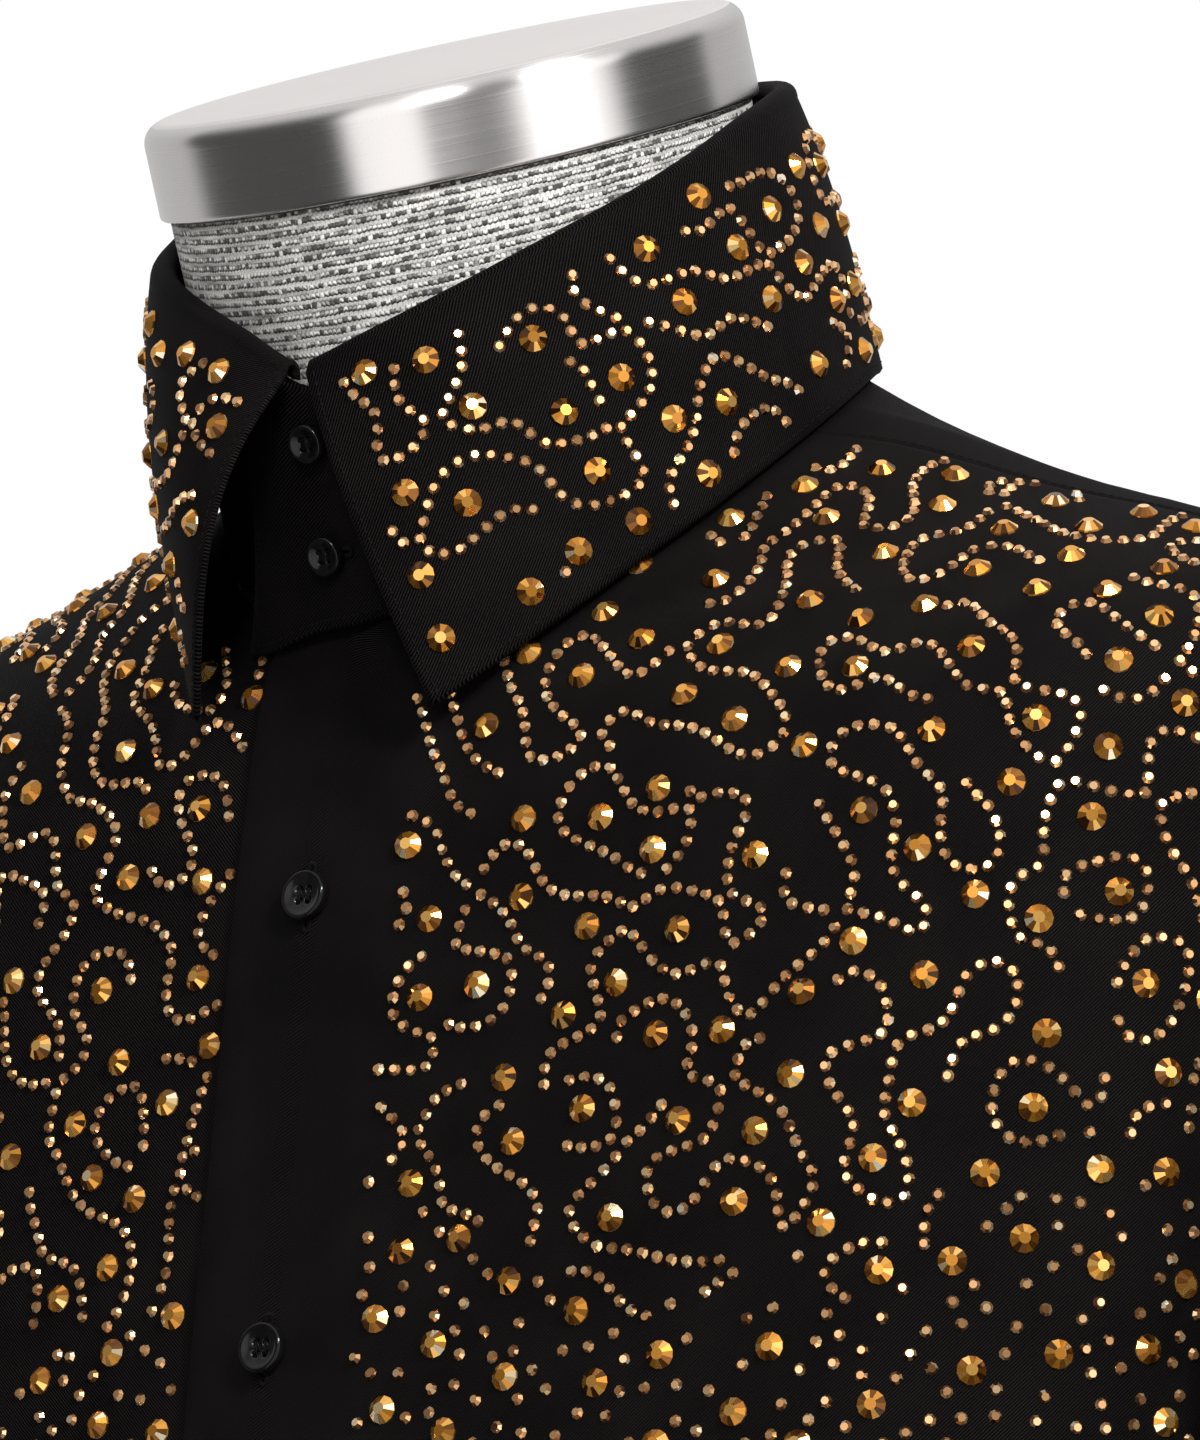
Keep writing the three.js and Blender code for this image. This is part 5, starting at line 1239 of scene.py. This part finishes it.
def gem(sides, rings, top):
    # rings of radius and height from the underside up, then a flat table; facets share a number where they are flat
    turns = np.arange(sides) / sides * 2 * np.pi
    points = np.concatenate([np.stack([r * np.cos(turns), r * np.sin(turns), np.full(sides, h)], -1) for r, h in rings])
    k, n = np.arange(sides), (np.arange(sides) + 1) % sides
    faces, facets = [], []
    for ring in range(len(rings) - 1):
        low, high = ring * sides, (ring + 1) * sides
        faces += [np.stack([low + k, low + n, high + n], -1), np.stack([low + k, high + n, high + k], -1)]
        facets += [k + ring * sides, k + ring * sides]
    last = (len(rings) - 1) * sides
    fan = np.arange(1, sides - 1)
    faces += [np.stack([last + 0 * fan, last + fan, last + fan + 1], -1), np.stack([0 * fan, fan + 1, fan], -1)]
    facets += [np.full(len(fan), last), np.full(len(fan), last + 1)]
    return points, np.concatenate(faces), np.concatenate(facets), last


R, H = stoneSizes["smallRadius"], stoneSizes["smallHeight"]
smallGem = gem(8, [(R, 0), (R * 0.58, H)], True)
R, H = stoneSizes["largeRadius"], stoneSizes["largeHeight"]
largeGem = gem(12, [(R, 0), (R * 0.97, H * 0.22), (R * 0.4, H)], True)
# facet colours from near black to highlight-bright: painted reflection of the foil
smallFoil = stoneMaterial("small_foiled_glass", [(0.0, (0.055, 0.024, 0.010)), (0.3, (0.27, 0.125, 0.050)), (0.62, (0.80, 0.43, 0.19)),
                                                (0.9, (1.0, 0.74, 0.42)), (1.0, (1.0, 0.90, 0.72))], 0.19)
largeFoil = stoneMaterial("large_foiled_glass", [(0.0, (0.045, 0.015, 0.003)), (0.28, (0.24, 0.085, 0.010)), (0.6, (0.74, 0.31, 0.038)),
                                                (0.88, (1.0, 0.60, 0.17)), (1.0, (1.0, 0.90, 0.64))], 0.14)


def setStones(name, points, normals, places, template, material):
    vertices, faces, facets, table = template
    at, z = sample(points, *places.T), unit(sample(normals, *places.T))
    z = unit(z + chance.normal(0, 0.05, z.shape))
    turn = chance.uniform(0, 2 * np.pi, len(at))[:, None]
    x = unit(np.cross([0.3, -0.2, 1.0], z))
    y = np.cross(z, x)
    frames = np.stack([x * np.cos(turn) + y * np.sin(turn), y * np.cos(turn) - x * np.sin(turn), z], 1)
    # painted reflection: random facet tones from dark to highlight-bright, and a steady mid tone on the table
    facetTones = np.clip(chance.beta(1.3, 1.5, (len(at), facets.max() + 1)) + chance.normal(0, 0.08, (len(at), 1)), 0, 1)
    facetTones[:, table] = np.clip(0.62 + chance.normal(0, 0.15, len(at)), 0, 1)
    return dress(copies(name, vertices, faces, at - z * 0.12, frames, facetTones[:, facets].ravel()), material)


leafTree = mathutils.kdtree.KDTree(leafOuter.shape[0] * leafOuter.shape[1])
for i, point in enumerate(leafOuter.reshape(-1, 3)):
    leafTree.insert(point, i)
leafTree.balance()
fineS, fineT = np.linspace(0, 1, 261), np.linspace(0, 1, 421)
finePlace = frontDomain(fineS, fineT)
fineAngle, fineLevel = finePlace[..., 0], finePlace[..., 1]
fineFlat = bodyFlat(fineAngle, fineLevel)
fineEdge = np.minimum(np.minimum(np.arange(261), np.arange(261)[::-1])[None] * 1.15, np.minimum(np.arange(421), np.arange(421)[::-1])[:, None] * 2.0)
for side, sign in (("left", 1), ("right", -1)):
    lifted = clothSizes["wall"] + (frontLift(fineAngle, fineLevel) if sign == 1 else 0)
    points = bodyCloth(fineAngle, fineLevel, lifted)
    start = 22.0 if sign == 1 else 23.5
    closest = np.array([leafTree.find(point)[2] for point in (points * [sign, 1, 1])[300:].reshape(-1, 3)]).reshape(-1, 261)
    nearLeaf = np.concatenate([np.full((300, 261), 99.0), closest])
    allowed = ((points[..., 0] > start) & (fineEdge > 5) & (nearLeaf > 4.2) & (fineLevel < 12.1)).astype(float)
    normals = gridNormals(points)
    points, normals = points * [sign, 1, 1], normals * [sign, 1, 1]
    field = waveField(points)
    small, large = stonePlaces(points, field, allowed, stoneSizes["linesAbove"])
    print(side, "front stones", len(small), len(large))
    setStones("front_" + side + "_small_stones", points, normals, small, smallGem, smallFoil)
    setStones("front_" + side + "_large_stones", points, normals, large, largeGem, largeFoil)
leafMargin = np.minimum(np.minimum(leafAround, leafAround[:, -1:] - leafAround), leafDown[-1:] - leafDown)
allowed = ((leafMargin > 5.5) & (leafGridT > leafShape["foldShare"] + 0.06)).astype(float)
small, large = stonePlaces(leafOuter, waveField(leafOuter + [700, 0, 400]), allowed, 0)
print("leaf stones", len(small), len(large))
setStones("leaf_small_stones", leafOuter, outerNormals, small, smallGem, smallFoil)
setStones("leaf_large_stones", leafOuter, outerNormals, large, largeGem, largeFoil)
print("stones done")

# ---------------------------------------------------------------- light
lightShape = {
    # azimuth from the viewer in degrees and the brightness there: pale panels with dark gaps between them
    "turn": [-180, -120, -112, -46, -38, -12, -6, 24, 30, 62, 68, 110, 116, 180],
    "level": [0.60, 0.60, 0.085, 0.085, 1.45, 1.45, 0.26, 0.26, 1.45, 1.45, 0.085, 0.085, 0.55, 0.60],
    "overhead": 0.84, "below": 0.32, "strength": 1.0,
}


def studioWorld(shape, azimuth):  # brightness by the ray's azimuth, more from above and less from below
    world = bpy.data.worlds.new("studio")
    bpy.context.scene.world = world
    world.use_nodes = True
    tree = world.node_tree
    tree.nodes.clear()
    ray = node(tree, "SeparateXYZ", {0: node(tree, "TexCoord").outputs["Generated"]})
    turn = math(tree, "ARCTAN2", ray.outputs[0], math(tree, "MULTIPLY", ray.outputs[1], -1.0))
    turn = math(tree, "SUBTRACT", turn, float(np.radians(azimuth)))
    turn = math(tree, "WRAP", turn, np.pi, -np.pi)
    share = math(tree, "MULTIPLY_ADD", turn, 1 / (2 * np.pi), 0.5)
    stops = [((t + 180) / 360, level / 2) for t, level in zip(shape["turn"], shape["level"])]
    panels_ = math(tree, "MULTIPLY", ramp(tree, share, stops), 2.0)
    height = node(tree, "MapRange", {"Value": ray.outputs[2], 1: -0.9, 2: -0.62, 3: shape["below"], 4: 1.0}).outputs[0]
    upward = node(tree, "MapRange", {"Value": ray.outputs[2], 1: 0.35, 2: 0.75}).outputs[0]
    level = math(tree, "MULTIPLY", panels_, height)
    level = mixColour(tree, upward, level, (shape["overhead"],) * 3)
    seen = node(tree, "LightPath").outputs["Is Camera Ray"]
    colour = mixColour(tree, seen, level, (1.0, 1.0, 1.0))
    background = node(tree, "Background", {"Color": colour, "Strength": shape["strength"]})
    tree.links.new(background.outputs[0], node(tree, "OutputWorld").inputs[0])


def areaLight(name, azimuth, elevation, distance, size, power, target=(0.0, 0.0, 0.93)):
    a, e = np.radians(azimuth), np.radians(elevation)
    back = np.array([np.sin(a) * np.cos(e), -np.cos(a) * np.cos(e), np.sin(e)])
    right = np.array([np.cos(a), np.sin(a), 0.0])
    up = np.cross(back, right)
    data = bpy.data.lights.new(name, "AREA")
    data.shape, data.size, data.energy = "DISK", size, power
    lamp = bpy.data.objects.new(name, data)
    place = np.array(target) + back * distance
    lamp.matrix_world = mathutils.Matrix([[right[i], up[i], back[i], place[i]] for i in range(3)] + [[0, 0, 0, 1]])
    bpy.context.scene.collection.objects.link(lamp)
    return lamp


studioWorld(lightShape, cameraView["azimuth"])
areaLight("key_light", 66, 30, 1.7, 0.30, 34)
areaLight("fill_light", 24, 25, 1.9, 0.45, 13)
bpy.context.scene.view_settings.view_transform = "Standard"
floorMaterial, floorTree, floorShader = newMaterial("pale_floor")
floorNoise = node(floorTree, "TexNoise", {"Vector": node(floorTree, "TexCoord").outputs["Object"], "Scale": 7.0, "Detail": 3.0}).outputs["Fac"]
link(floorTree, ramp(floorTree, floorNoise, [(0.2, 0.78), (0.8, 0.84)]), floorShader.inputs["Base Color"])
floorShader.inputs["Roughness"].default_value = 0.7
floorMesh = bpy.data.meshes.new("floor")
floorMesh.from_pydata([(-6, -6, -0.0005), (6, -6, -0.0005), (6, 6, -0.0005), (-6, 6, -0.0005)], [], [(0, 1, 2, 3)])
floor = bpy.data.objects.new("floor", floorMesh)
floorMesh.materials.append(floorMaterial)
bpy.context.scene.collection.objects.link(floor)
floor.visible_glossy = False  # the steel mirrors the pale panels round it, not the floor
print("light done")
